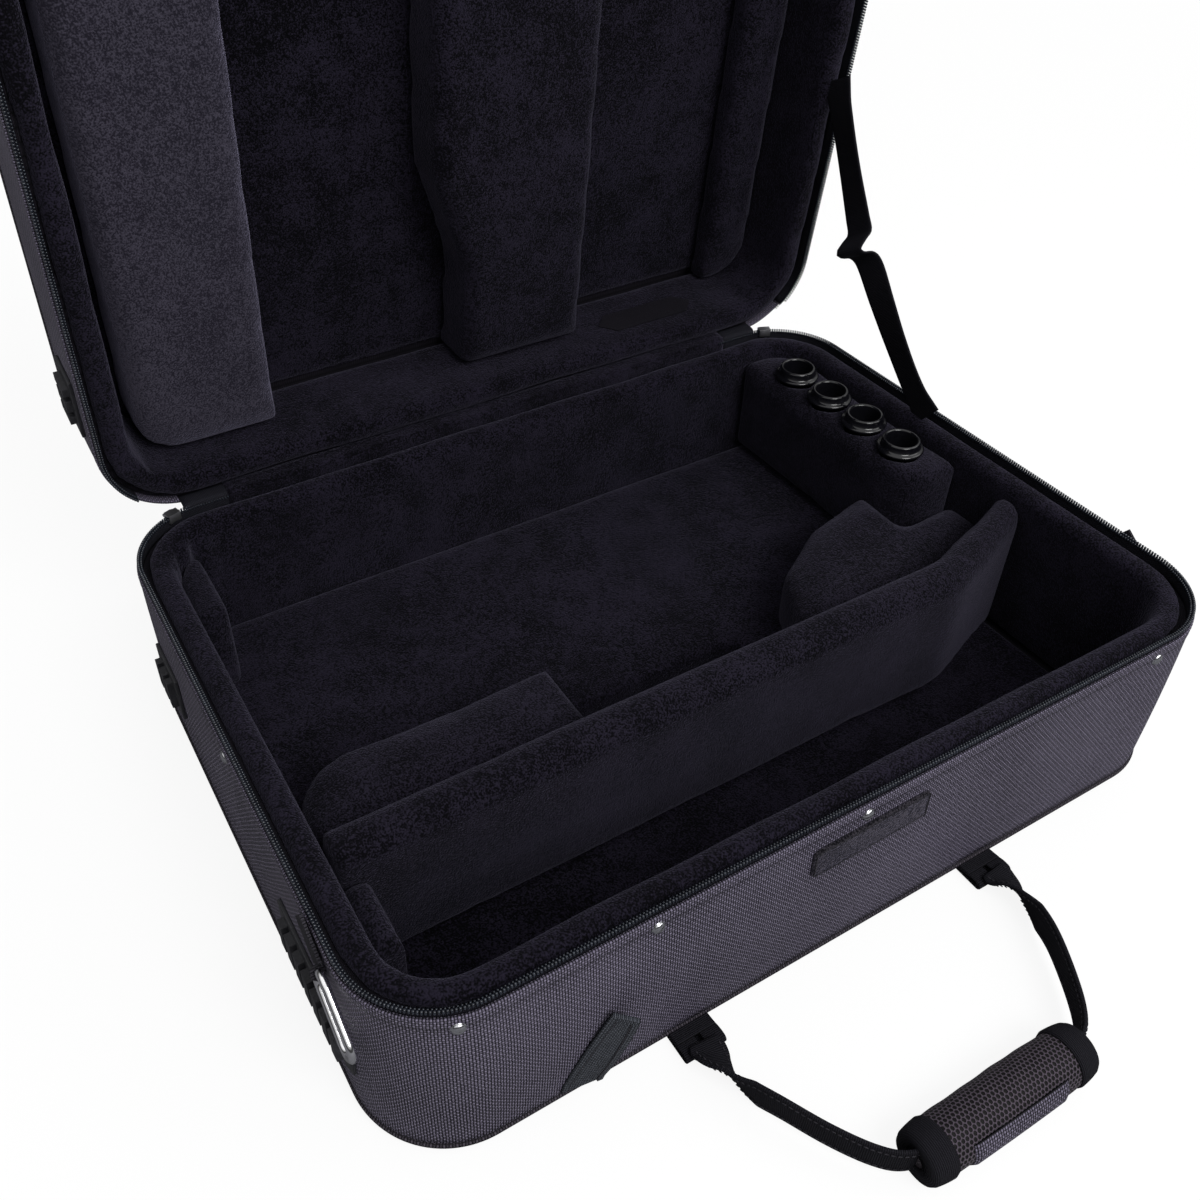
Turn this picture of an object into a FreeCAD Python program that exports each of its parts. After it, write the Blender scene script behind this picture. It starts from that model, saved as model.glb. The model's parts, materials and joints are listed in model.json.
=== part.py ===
import FreeCAD, Part
import math
import os
import Sketcher
from FreeCAD import Placement, Rotation, Vector

# Soft-sided case for two brass instruments, lying open.
# X runs along the front, Y from the front to the hinge, Z up; the origin is under the
# middle of the base, on the floor. Millimetres and degrees throughout.

SIZES = {
    # whole case
    "case_length": 570.0,
    "case_width": 420.0,
    "corner_radius": 55.0,
    "closing_height": 132.0,
    "lid_depth": 85.0,
    "lid_open_angle": 84.0,
    "fit_gap": 0.1,
    "pad_gap": 0.3,
    # nylon cover and the braided piping in its seams
    "cover_thickness": 1.6,
    "cover_rim_drop": 6.0,
    "piping_radius": 2.6,
    "piping_inset": 1.3,
    "piping_lift": 5.0,
    "piping_seam_gap": 0.1,
    # board frame
    "board_thickness": 8.0,
    "lid_board_thickness": 6.0,
    "board_rim_drop": 12.0,
    "board_edge_bevel": 7.0,
    # plush lining and its lip
    "wall_inset": 22.0,
    "lip_inset": 5.6,
    "lip_rim_drop": 0.3,
    "lip_inner_bevel": 5.5,
    "lip_outer_bevel": 4.0,
    "floor_lining_thickness": 6.0,
    "lid_ceiling_thickness": 6.0,
    # large bay behind the divider
    "narrow_bay_width": 88.0,
    "divider_thickness": 27.0,
    "divider_height": 122.0,
    "divider_bend_at": 87.7,
    "divider_bend_shift": 32.0,
    "divider_bend_round": 40.0,
    "divider_top_round": 12.0,
    "horn_floor_height": 40.0,
    "well_left": 84.0,
    "well_right": 70.0,
    "well_depth": 64.0,
    "body_pad_depth": 64.0,
    "body_pad_height": 95.0,
    "body_pad_round": 44.0,
    "pad_top_bevel": 5.0,
    "bow_pad_height": 88.0,
    "bow_pad_depth": 110.0,
    "bow_pad_round": 22.0,
    "bell_pad_thickness": 22.0,
    "bell_pad_start": 69.7,
    "bell_pad_height": 112.0,
    "end_pad_thickness": 19.0,
    "end_pad_depth": 48.0,
    "end_pad_height": 104.0,
    # mouthpiece block and its sleeves
    "block_width": 49.0,
    "block_depth": 196.0,
    "block_height": 122.0,
    "block_round": 30.0,
    "block_top_bevel": 5.0,
    "sleeve_bore": 22.0,
    "sleeve_wall": 1.8,
    "sleeve_depth": 60.0,
    "sleeve_flange": 34.0,
    "sleeve_flange_thickness": 2.4,
    "sleeve_collar": 27.6,
    "sleeve_collar_height": 6.0,
    "sleeve_pitch": 39.0,
    "sleeve_first": 36.3,
    "sleeve_inset": 26.5,
    "sleeve_floor": 2.0,
    # blocks in the lid
    "lid_block_drop": 28.0,
    "left_block_start": 29.0,
    "left_block_width": 99.0,
    "middle_block_right": 89.0,
    "middle_block_left": 38.0,
    "middle_block_notch": 23.0,
    "middle_notch_start": 104.0,
    "middle_notch_end": 178.0,
    "right_block_start": 68.0,
    "right_block_drop": 50.0,
    "lid_block_bevel": 2.5,
    "patch_length": 88.0,
    "patch_height": 22.0,
    "patch_thickness": 1.2,
    "patch_centre": 152.0,
    "patch_drop": 34.0,
    # zipper
    "tape_thickness": 1.0,
    "coil_radius": 1.5,
    "coil_half_gap": 0.8,
    "zip_back_run": 20.0,
    "lid_coil_start_angle": 45.0,
    "slider_park_angle": 21.0,
    "slider_angle": 10.0,
    "slider_plate": 1.0,
    "slider_clearance": 0.4,
    "slider_height": 6.0,
    "slider_foot": 1.0,
    "slider_lug": 1.0,
    "slider_lug_radius": 1.3,
    "pull_length": 22.0,
    "pull_width": 6.4,
    "pull_thickness": 1.2,
    "pull_barrel_radius": 1.7,
    "pull_barrel_length": 5.0,
    "pull_hole_radius": 1.5,
    "pull_pin_radius": 0.7,
    "side_gap": 0.3,
    "running_fit": 0.08,
    # fabric hinge and stay
    "gusset_bend": 2.6,
    "stay_thickness": 2.0,
    "stay_width": 24.0,
    "stay_base_width": 30.0,
    "stay_inset": 14.0,
    "stay_base_y": 169.9,
    "stay_lid_reach": 205.0,
    "stay_fold_y": 77.9,
    "stay_fold_z": 227.0,
    "stay_fold_drop": 15.0,
    "stay_fold_reach": 8.0,
    # rubber skids on the ends
    "skid_height": 34.0,
    "skid_plate": 1.6,
    "skid_block_height": 22.0,
    "skid_rise": 4.2,
    "skid_groove": 3.2,
    "skid_groove_depth": 2.6,
    "skid_pitch": 12.0,
    "skid_margin": 15.0,
    "skid_centre_height": 57.0,
    "front_skid_length": 92.0,
    "front_skid_start": 45.0,
    "rear_skid_length": 42.0,
    "rear_skid_start": 58.0,
    "lid_skid_drop": 44.0,
    # rivets, patch and web tab on the outside
    "rivet_radius": 4.2,
    "rivet_crown_radius": 2.4,
    "rivet_rise": 1.8,
    "rivet_height": 118.0,
    "rivet_first": 39.0,
    "rivet_second": 144.0,
    "rivet_third": 9.0,
    "rivet_fourth": 67.0,
    "end_rivet_offset": 5.0,
    "loop_patch_length": 82.0,
    "loop_patch_height": 20.0,
    "loop_patch_thickness": 1.8,
    "loop_patch_centre": 4.0,
    "loop_patch_level": 101.0,
    "web_tab_width": 26.0,
    "web_tab_length": 60.0,
    "web_tab_sewn": 14.0,
    "web_tab_thickness": 2.0,
    "web_tab_lean": 12.0,
    "web_tab_tilt": 24.0,
    "web_tab_x": 98.0,
    "web_tab_z": 14.0,
    # strap rings
    "ring_length": 46.0,
    "ring_width": 28.0,
    "ring_wire": 2.2,
    "ring_corner": 8.0,
    "ring_y": 64.0,
    "ring_z": 109.0,
    "ring_slope": 36.0,
    "ring_tab_length": 24.0,
    "ring_tab_width": 18.0,
    "ring_tab_thickness": 1.6,
    "ring_loop_width": 6.5,
    # carry handle
    "handle_half_span": 108.0,
    "handle_offset": 5.0,
    "handle_reach": 120.0,
    "handle_root": 12.0,
    "handle_root_height": 8.5,
    "handle_taper": 30.0,
    "handle_bow": 8.0,
    "handle_web_width": 20.0,
    "handle_web_thickness": 2.2,
    "anchor_width": 26.0,
    "anchor_length": 16.0,
    "anchor_thickness": 2.0,
    "anchor_lift": 0.2,
    "anchor_knuckle": 3.0,
    "grip_length": 114.0,
    "grip_radius": 15.2,
    "grip_end_radius": 12.8,
    "grip_shoulder_radius": 14.6,
    "grip_shoulder_at": 30.0,
    "grip_lift": 0.3,
    "binding_length": 14.0,
    "binding_thickness": 1.0,
    "closure_length": 66.0,
    "closure_width": 20.0,
    "closure_thickness": 1.4,
}

doc = FreeCAD.newDocument("InstrumentCase")
sheet = doc.addObject("Spreadsheet::Sheet", "Sizes")
for row, (name, amount) in enumerate(SIZES.items(), start=1):
    sheet.set("A" + str(row), name)
    sheet.set("B" + str(row), str(amount))
    sheet.setAlias("B" + str(row), name)
doc.recompute()


class Size:
    """A size from the sheet, or a sum of such: its number, and the words that bind it."""

    def __init__(self, number, words):
        self.number = number
        self.words = words

    def joined(self, other, sign, number):
        return Size(number, "(" + self.words + " " + sign + " " + words_of(other) + ")")

    def __add__(self, other):
        return self.joined(other, "+", self.number + float(other))

    def __sub__(self, other):
        return self.joined(other, "-", self.number - float(other))

    def __mul__(self, other):
        return self.joined(other, "*", self.number * float(other))

    def __truediv__(self, other):
        return self.joined(other, "/", self.number / float(other))

    def __neg__(self):
        return Size(-self.number, "(0 - " + self.words + ")")

    def __float__(self):
        return float(self.number)


def words_of(amount):
    if isinstance(amount, Size):
        return amount.words
    return str(amount)


class Sheet:
    """Gives each named size of the sheet as an attribute."""

    def __getattr__(self, name):
        return Size(float(getattr(sheet, name)), "Sizes." + name)


S = Sheet()
NODES = []


def keep(label, piece):
    piece.Label = label
    NODES.append(piece)
    return piece


# Sketches and bodies


def plane_of(body, role):
    for feature in body.Origin.OriginFeatures:
        if feature.Role == role:
            return feature
    return None


def new_sketch(body, name, level=None, role="XY_Plane"):
    sketch = body.newObject("Sketcher::SketchObject", name)
    sketch.AttachmentSupport = [(plane_of(body, role), "")]
    sketch.MapMode = "FlatFace"
    if level is not None:
        sketch.setExpression("AttachmentOffset.Base.z", level.words)
    return sketch


def bind(sketch, kind, first, first_end, second, second_end, amount):
    """A signed distance between two points, kept positive by swapping them."""
    if amount.number < 0:
        amount = -amount
        first, first_end, second, second_end = second, second_end, first, first_end
    rule = Sketcher.Constraint(kind, first, first_end, second, second_end, amount.number)
    sketch.setExpression("Constraints[" + str(sketch.addConstraint(rule)) + "]", amount.words)


def rounded_loop(sketch, length, width, radius):
    """A closed loop round the sketch's origin: four straight runs joined by four equal arcs."""
    half_x = length.number / 2
    half_y = width.number / 2
    r = radius.number
    up = Vector(0, 0, 1)
    corners = [(half_x - r, r - half_y, -90), (half_x - r, half_y - r, 0),
               (r - half_x, half_y - r, 90), (r - half_x, r - half_y, 180)]
    ends = [(Vector(r - half_x, -half_y, 0), Vector(half_x - r, -half_y, 0)),
            (Vector(half_x, r - half_y, 0), Vector(half_x, half_y - r, 0)),
            (Vector(half_x - r, half_y, 0), Vector(r - half_x, half_y, 0)),
            (Vector(-half_x, half_y - r, 0), Vector(-half_x, r - half_y, 0))]
    runs = []
    arcs = []
    for (start, stop), (x, y, angle) in zip(ends, corners):
        runs.append(sketch.addGeometry(Part.LineSegment(start, stop), False))
        circle = Part.Circle(Vector(x, y, 0), up, r)
        arc = Part.ArcOfCircle(circle, math.radians(angle), math.radians(angle + 90))
        arcs.append(sketch.addGeometry(arc, False))
    for index in range(4):
        following = runs[(index + 1) % 4]
        sketch.addConstraint(Sketcher.Constraint("Tangent", runs[index], 2, arcs[index], 1))
        sketch.addConstraint(Sketcher.Constraint("Tangent", arcs[index], 2, following, 1))
    for index in (0, 2):
        sketch.addConstraint(Sketcher.Constraint("Horizontal", runs[index]))
        sketch.addConstraint(Sketcher.Constraint("Vertical", runs[index + 1]))
    for index in (1, 2, 3):
        sketch.addConstraint(Sketcher.Constraint("Equal", arcs[0], arcs[index]))
    sketch.addConstraint(Sketcher.Constraint("Symmetric", arcs[0], 3, arcs[2], 3, -1, 1))
    bind(sketch, "DistanceX", runs[3], 1, runs[1], 1, length)
    bind(sketch, "DistanceY", runs[0], 1, runs[2], 1, width)
    rule = Sketcher.Constraint("Radius", arcs[0], r)
    sketch.setExpression("Constraints[" + str(sketch.addConstraint(rule)) + "]", radius.words)


def inset_loop(sketch, inset):
    """The case's rounded outline, drawn in by the inset all round."""
    rounded_loop(sketch, S.case_length - inset * 2, S.case_width - inset * 2,
                 S.corner_radius - inset)


def full_loop(sketch):
    """The case's own rounded outline."""
    rounded_loop(sketch, S.case_length, S.case_width, S.corner_radius)


def polygon(sketch, corners):
    """Straight runs between the corners, each held by its two distances from the origin."""
    count = len(corners)
    places = [Vector(float(x), float(y), 0) for x, y in corners]
    for index in range(count):
        run = Part.LineSegment(places[index], places[(index + 1) % count])
        sketch.addGeometry(run, False)
    for index in range(count):
        following = (index + 1) % count
        sketch.addConstraint(Sketcher.Constraint("Coincident", index, 2, following, 1))
    for index, (x, y) in enumerate(corners):
        bind(sketch, "DistanceX", -1, 1, index, 1, x)
        bind(sketch, "DistanceY", -1, 1, index, 1, y)


def pad(body, name, sketch, length):
    feature = body.newObject("PartDesign::Pad", name)
    feature.Profile = sketch
    feature.setExpression("Length", length.words)
    sketch.Visibility = False
    return feature


def pocket(body, name, sketch, length, upward=True):
    """Cuts from the sketch's plane, and makes sure that the cut removed something."""
    doc.recompute()
    before = body.Shape.Volume
    feature = body.newObject("PartDesign::Pocket", name)
    feature.Profile = sketch
    feature.setExpression("Length", length.words)
    feature.Reversed = upward
    doc.recompute()
    if feature.Shape.isNull() or feature.Shape.Volume >= before:
        raise RuntimeError(name + " cut nothing")
    return feature


def edges_where(shape, test):
    return ["Edge" + str(i) for i, edge in enumerate(shape.Edges, start=1) if test(edge)]


def round_edges(body, name, radius, test):
    """A fillet on the edges of the body's last feature that the test picks."""
    doc.recompute()
    base = body.Tip
    feature = body.newObject("PartDesign::Fillet", name)
    feature.Base = (base, edges_where(base.Shape, test))
    feature.setExpression("Radius", radius.words)
    doc.recompute()
    return feature


def bevel_edges(body, name, size, test):
    """A chamfer on the edges of the body's last feature that the test picks."""
    doc.recompute()
    base = body.Tip
    feature = body.newObject("PartDesign::Chamfer", name)
    feature.Base = (base, edges_where(base.Shape, test))
    feature.setExpression("Size", size.words)
    doc.recompute()
    return feature


def box_in(body, name, x, y, z, length, width, height):
    """A block with its low corner at x, y, z."""
    feature = body.newObject("PartDesign::AdditiveBox", name)
    feature.AttachmentSupport = [(plane_of(body, "XY_Plane"), "")]
    feature.MapMode = "FlatFace"
    for axis, amount in zip("xyz", (x, y, z)):
        feature.setExpression("AttachmentOffset.Base." + axis, amount.words)
    for field, amount in (("Length", length), ("Width", width), ("Height", height)):
        feature.setExpression(field, amount.words)
    return feature


def near(value, target):
    return abs(value - float(target)) < float(S.fit_gap) / 2


def at_level(level):
    return lambda edge: all(near(v.Point.z, level) for v in edge.Vertexes)


def upright_at(x, y):
    """Picks upright edges that stand at the given place."""
    def test(edge):
        return all(near(v.Point.x, x) and near(v.Point.y, y) for v in edge.Vertexes)
    return test


def rim_at(level, inset):
    """Picks the edges of the rounded outline at the level and inset."""
    half_x = S.case_length / 2 - inset
    half_y = S.case_width / 2 - inset

    def on_rim(point):
        x = abs(point.x)
        y = abs(point.y)
        return near(x, half_x) or near(y, half_y)

    return lambda edge: at_level(level)(edge) and all(on_rim(v.Point) for v in edge.Vertexes)


def upright(edge):
    ends = [v.Point for v in edge.Vertexes]
    return len(ends) == 2 and near(ends[0].x, ends[1].x) and near(ends[0].y, ends[1].y)


def new_body(label):
    return keep(label, doc.addObject("PartDesign::Body", label))


def feature_of(label, shape, place=None):
    """A piece whose shape is worked out with Part's own functions."""
    piece = doc.addObject("Part::Feature", label)
    piece.Shape = shape
    if place is not None:
        piece.Placement = place
    return keep(label, piece)


# Places that several pieces share

FRAME_INSET = S.cover_thickness + S.fit_gap
BOARD_INNER_INSET = FRAME_INSET + S.board_thickness
LINING_INSET = BOARD_INNER_INSET + S.fit_gap
BAY_INSET = S.wall_inset + S.pad_gap
BAY_X = S.case_length / 2 - BAY_INSET
BAY_Y = S.case_width / 2 - BAY_INSET
BAY_ROUND = S.corner_radius - BAY_INSET
COVER_TOP = S.closing_height - S.cover_rim_drop
BOARD_TOP = S.closing_height - S.board_rim_drop
LIP_TOP = S.closing_height - S.lip_rim_drop
LID_COVER_LOW = S.closing_height + S.cover_rim_drop
LID_BOARD_LOW = S.closing_height + S.board_rim_drop
LID_LIP_LOW = S.closing_height + S.lip_rim_drop
LID_TOP = S.closing_height + S.lid_depth
SEAM = S.piping_radius + S.piping_seam_gap
PANEL_INSET = S.piping_inset + SEAM
LINING_LOW = FRAME_INSET + S.board_thickness + S.fit_gap
FLOOR_TOP = LINING_LOW + S.floor_lining_thickness
PAD_LOW = FLOOR_TOP + S.pad_gap
HORN_PAD_LOW = S.horn_floor_height + S.pad_gap
LID_BOARD_TOP = LID_TOP - FRAME_INSET
LID_CEILING_TOP = LID_BOARD_TOP - S.lid_board_thickness - S.fit_gap
LID_CEILING_LOW = LID_CEILING_TOP - S.lid_ceiling_thickness
LID_PAD_TOP = LID_CEILING_LOW - S.pad_gap
DIVIDER_FRONT = S.wall_inset + S.narrow_bay_width - S.case_width / 2
DIVIDER_BACK = DIVIDER_FRONT + S.divider_thickness
HORN_BAY_FRONT = DIVIDER_BACK + S.pad_gap
BEND_X = BAY_X - S.divider_bend_at
ZIP_INSET = S.cover_thickness + S.tape_thickness / 2
HINGE_Y = S.case_width / 2 - ZIP_INSET
HINGE_Z = S.closing_height
HINGE = Vector(0, float(HINGE_Y), float(HINGE_Z))
LID_PLACE = Placement(Vector(0, 0, 0), Rotation(Vector(1, 0, 0), -float(S.lid_open_angle)), HINGE)
ARC_X = S.case_length / 2 - S.corner_radius
ARC_Y = S.case_width / 2 - S.corner_radius
CORNER_STEPS = 6


def mirrored(shape):
    return shape.mirror(Vector(0, 0, 0), Vector(1, 0, 0))


def rounded_face(inset, level):
    """The case's rounded outline as a face, drawn in by the inset, at the level."""
    half_x = float(S.case_length) / 2 - float(inset)
    half_y = float(S.case_width) / 2 - float(inset)
    box = Part.makeBox(2 * half_x, 2 * half_y, 1, Vector(-half_x, -half_y, float(level)))
    rim = [edge for edge in box.Edges if upright(edge)]
    block = box.makeFillet(float(S.corner_radius) - float(inset), rim)
    for face in block.Faces:
        if all(near(v.Point.z, level) for v in face.Vertexes):
            return Part.Face(face.OuterWire)
    return None


def outline_prism(inset, low, high):
    return rounded_face(inset, low).extrude(Vector(0, 0, float(high) - float(low)))


def outline_path(inset, level):
    """The wire of the rounded outline at the inset and level."""
    return rounded_face(inset, level).OuterWire


def swept(edges, section):
    """One solid along a chain of lines and arcs, from a section made at each run's start."""
    parts = []
    for edge in edges:
        start = edge.valueAt(edge.FirstParameter)
        face = section(start, edge.tangentAt(edge.FirstParameter))
        if isinstance(edge.Curve, Part.Line):
            parts.append(face.extrude(edge.valueAt(edge.LastParameter) - start))
        else:
            turn = math.degrees(edge.LastParameter - edge.FirstParameter)
            parts.append(face.revolve(edge.Curve.Center, edge.Curve.Axis, turn))
    return parts[0].multiFuse(parts[1:]).removeSplitter()


def around(centre, first, second, radius, sides):
    """Corners round a centre, in the plane of two crossing directions."""
    turn = 2 * math.pi / sides
    return [centre + first * (radius * math.cos(turn * (index + 0.5)))
            + second * (radius * math.sin(turn * (index + 0.5))) for index in range(sides)]


def skin(rings, closed=False):
    """A solid whose flat faces join ring to ring; an open row of rings gets two end faces."""
    faces = []
    following = rings[1:] + rings[:1] if closed else rings[1:]
    for ring, onward in zip(rings, following):
        for index in range(len(ring)):
            beside = (index + 1) % len(ring)
            loop = [ring[index], ring[beside], onward[beside], onward[index], ring[index]]
            faces.append(Part.Face(Part.makePolygon(loop)))
    if not closed:
        faces += [Part.Face(Part.makePolygon(end + end[:1])) for end in (rings[0], rings[-1])]
    solid = Part.Solid(Part.Shell(faces))
    return solid if solid.Volume > 0 else solid.reversed()


def barrel(stations, sides, at, axis):
    """A straight piece with corners at the stations' radii, along the axis from a point."""
    first = axis.cross(Vector(0, 0, 1) if abs(axis.z) < 0.5 else Vector(1, 0, 0)).normalize()
    second = axis.cross(first)
    return skin([around(at + axis * float(place), first, second, float(radius), sides)
                 for place, radius in stations])


def mitred_cord(points, out, reach, sides):
    """A closed cord through points of one plane, mitred at each; out is the plane's normal."""
    corner = float(reach) / math.cos(math.pi / sides)
    rings = []
    for index, point in enumerate(points):
        before = (point - points[index - 1]).normalize()
        after = (points[(index + 1) % len(points)] - point).normalize()
        along = (before + after).normalize()
        across = out.cross(along) * (1 / along.dot(after))
        rings.append(around(point, out, across, corner, sides))
    return skin(rings, closed=True)


def square_section(half):
    """A square section that stands upright, with its sides at half its width."""
    def section(start, along):
        across = along.cross(Vector(0, 0, 1)) * float(half)
        rise = Vector(0, 0, float(half))
        loop = [start + across + rise, start - across + rise, start - across - rise,
                start + across - rise]
        return Part.Face(Part.makePolygon(loop + loop[:1]))
    return section


def strip_section(side, thick):
    """A strip's section: as wide as the side vector, with its thickness across the path."""
    def section(start, along):
        across = along.cross(side).normalize() * (float(thick) / 2)
        loop = [start + side * 0.5 + across, start + side * 0.5 - across,
                start - side * 0.5 - across, start - side * 0.5 + across]
        return Part.Face(Part.makePolygon(loop + loop[:1]))
    return section


def outline_points(inset, level):
    """Points round the case's rounded outline at the inset and level."""
    radius = float(S.corner_radius) - float(inset)
    points = []
    for quarter in range(4):
        side_x, side_y = ((1, 1), (-1, 1), (-1, -1), (1, -1))[quarter]
        for step in range(CORNER_STEPS + 1):
            angle = math.pi / 2 * (quarter + step / CORNER_STEPS)
            points.append(Vector(side_x * float(ARC_X) + radius * math.cos(angle),
                                 side_y * float(ARC_Y) + radius * math.sin(angle),
                                 float(level)))
    return points


def piping(level):
    return mitred_cord(outline_points(S.piping_inset, level), Vector(0, 0, 1),
                       S.piping_radius, 8)


# Base: cover, bottom, board and lining


def base_side_cover():
    body = new_body("base_side_cover")
    low = S.piping_lift + SEAM
    sketch = new_sketch(body, "cover_outline", low)
    full_loop(sketch)
    inset_loop(sketch, S.cover_thickness)
    pad(body, "cover_wall", sketch, COVER_TOP - low)


def base_bottom_panel():
    body = new_body("base_bottom_panel")
    sketch = new_sketch(body, "panel_outline")
    inset_loop(sketch, PANEL_INSET)
    pad(body, "panel_plate", sketch, S.cover_thickness)


def base_frame():
    body = new_body("base_frame")
    sketch = new_sketch(body, "board_outline", FRAME_INSET)
    inset_loop(sketch, FRAME_INSET)
    pad(body, "board_box", sketch, BOARD_TOP - FRAME_INSET)
    bevel_edges(body, "board_edge", S.board_edge_bevel, at_level(FRAME_INSET))
    hollow = new_sketch(body, "board_hollow", FRAME_INSET + S.board_thickness)
    inset_loop(hollow, BOARD_INNER_INSET)
    pocket(body, "board_inside", hollow, S.closing_height)


def base_lining():
    body = new_body("base_lining")
    wall = new_sketch(body, "lining_outline", LINING_LOW)
    inset_loop(wall, LINING_INSET)
    inset_loop(wall, S.wall_inset)
    pad(body, "lining_wall", wall, BOARD_TOP - LINING_LOW)
    lip = new_sketch(body, "lip_outline", BOARD_TOP)
    inset_loop(lip, S.lip_inset)
    inset_loop(lip, S.wall_inset)
    pad(body, "lining_lip", lip, LIP_TOP - BOARD_TOP)
    bevel_edges(body, "lip_outside", S.lip_outer_bevel, rim_at(LIP_TOP, S.lip_inset))
    bevel_edges(body, "lip_crown", S.lip_inner_bevel, rim_at(LIP_TOP, S.wall_inset))


def floor_lining():
    body = new_body("floor_lining")
    sketch = new_sketch(body, "floor_outline", LINING_LOW)
    inset_loop(sketch, BAY_INSET)
    pad(body, "floor_sheet", sketch, S.floor_lining_thickness)


def base_piping():
    feature_of("base_piping", piping(S.piping_lift))


# Base: pads and bays


def divider_corners(low_y, high_y, bend):
    """Plan of the divider or of what follows it, with the bend at its right end."""
    end = BAY_X
    return [(-end, low_y), (bend, low_y), (end, low_y + S.divider_bend_shift),
            (end, high_y + S.divider_bend_shift), (bend, high_y), (-end, high_y)]


def divider():
    body = new_body("divider")
    sketch = new_sketch(body, "divider_plan", PAD_LOW)
    polygon(sketch, divider_corners(DIVIDER_FRONT, DIVIDER_BACK, BEND_X))
    pad(body, "divider_wall", sketch, S.divider_height - PAD_LOW)
    bends = (DIVIDER_FRONT, DIVIDER_BACK)
    round_edges(body, "divider_bend", S.divider_bend_round,
                lambda edge: any(upright_at(BEND_X, y)(edge) for y in bends))
    round_edges(body, "divider_crown", S.divider_top_round, crown_of_divider)


def crown_of_divider(edge):
    """The long top edges, without the two short ones against the walls."""
    ends = [v.Point for v in edge.Vertexes]
    short = near(abs(ends[0].x), BAY_X) and near(abs(ends[-1].x), BAY_X)
    whole = abs(ends[0].x - ends[-1].x) > float(S.divider_thickness) * 2
    return at_level(S.divider_height)(edge) and (whole or not short)


def horn_floor():
    body = new_body("horn_floor")
    sketch = new_sketch(body, "horn_floor_plan", PAD_LOW)
    bend = BEND_X
    polygon(sketch, [(-BAY_X, HORN_BAY_FRONT), (bend, HORN_BAY_FRONT),
                     (BAY_X, HORN_BAY_FRONT + S.divider_bend_shift), (BAY_X, BAY_Y),
                     (-BAY_X, BAY_Y)])
    pad(body, "horn_floor_foam", sketch, S.horn_floor_height - PAD_LOW)
    round_edges(body, "horn_floor_corners", BAY_ROUND,
                lambda edge: upright(edge) and near(edge.Vertexes[0].Point.y, BAY_Y))
    round_edges(body, "horn_floor_bend", S.divider_bend_round + S.divider_thickness,
                upright_at(bend, HORN_BAY_FRONT))
    well = new_sketch(body, "well_plan", PAD_LOW)
    low_y = HORN_BAY_FRONT + S.pad_gap
    polygon(well, [(-S.well_left, low_y), (S.well_right, low_y),
                   (S.well_right, low_y + S.well_depth), (-S.well_left, low_y + S.well_depth)])
    pocket(body, "valve_well", well, S.horn_floor_height)


def body_pad():
    body = new_body("body_pad")
    right = -S.well_left - S.pad_gap
    box_in(body, "body_pad_foam", -BAY_X, HORN_BAY_FRONT, HORN_PAD_LOW, right + BAY_X,
           S.body_pad_depth, S.body_pad_height - HORN_PAD_LOW)
    round_edges(body, "body_pad_corner", S.body_pad_round,
                upright_at(-BAY_X, HORN_BAY_FRONT + S.body_pad_depth))
    bevel_edges(body, "body_pad_crown", S.pad_top_bevel, at_level(S.body_pad_height))


# Corners of the bow pad as shares of its length along X and its depth along Y
BOW_PAD_SHARES = [(0.21, 0.58), (0.56, 0.86)]
BLOCK_LEFT = BAY_X - S.block_width
BLOCK_FRONT = BAY_Y - S.block_depth
SLEEVE_X = BAY_X - S.sleeve_inset
SLEEVE_FRONT = BLOCK_FRONT + S.sleeve_first
SLEEVE_RADIUS = S.sleeve_bore / 2 + S.sleeve_wall


def bow_pad():
    """A low rounded pad between the divider's bend and the mouthpiece block."""
    body = new_body("bow_pad")
    left = S.well_right + S.pad_gap
    inner = BLOCK_LEFT - S.pad_gap
    sketch = new_sketch(body, "bow_pad_plan", HORN_PAD_LOW)
    slope = [(left + (inner - left) * x_share, HORN_BAY_FRONT + S.bow_pad_depth * y_share)
             for x_share, y_share in BOW_PAD_SHARES]
    front = BLOCK_FRONT - S.pad_gap
    bend_y = HORN_BAY_FRONT + S.divider_bend_shift
    polygon(sketch, [(left, HORN_BAY_FRONT), (BEND_X, HORN_BAY_FRONT),
                     (BAY_X, bend_y), (BAY_X, front), (inner, front),
                     (inner, HORN_BAY_FRONT + S.bow_pad_depth), slope[1], slope[0]])
    pad(body, "bow_pad_foam", sketch, S.bow_pad_height - HORN_PAD_LOW)
    round_edges(body, "bow_pad_slope", S.bow_pad_round,
                lambda edge: any(upright_at(x, y)(edge) for x, y in slope))
    round_edges(body, "bow_pad_bend", S.divider_bend_round + S.divider_thickness,
                upright_at(BEND_X, HORN_BAY_FRONT))
    bevel_edges(body, "bow_pad_crown", S.pad_top_bevel, at_level(S.bow_pad_height))


def bell_pad():
    """A pad on the left wall that follows the rounded corner behind it."""
    room = outline_prism(BAY_INSET, HORN_PAD_LOW, S.bell_pad_height)
    block = Part.makeBox(float(S.bell_pad_thickness), float(S.bell_pad_start),
                         float(S.bell_pad_height),
                         Vector(-float(BAY_X), float(BAY_Y - S.bell_pad_start), 0))
    shape = room.common(block)
    crown = [edge for edge in shape.Edges if at_level(S.bell_pad_height)(edge)]
    feature_of("bell_pad", shape.makeChamfer(float(S.pad_top_bevel) / 2, crown))


def end_pad():
    body = new_body("end_pad")
    back = DIVIDER_FRONT - S.pad_gap
    box_in(body, "end_pad_foam", -BAY_X, back - S.end_pad_depth, PAD_LOW,
           S.end_pad_thickness, S.end_pad_depth, S.end_pad_height - PAD_LOW)
    bevel_edges(body, "end_pad_crown", S.pad_top_bevel, at_level(S.end_pad_height))


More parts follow.
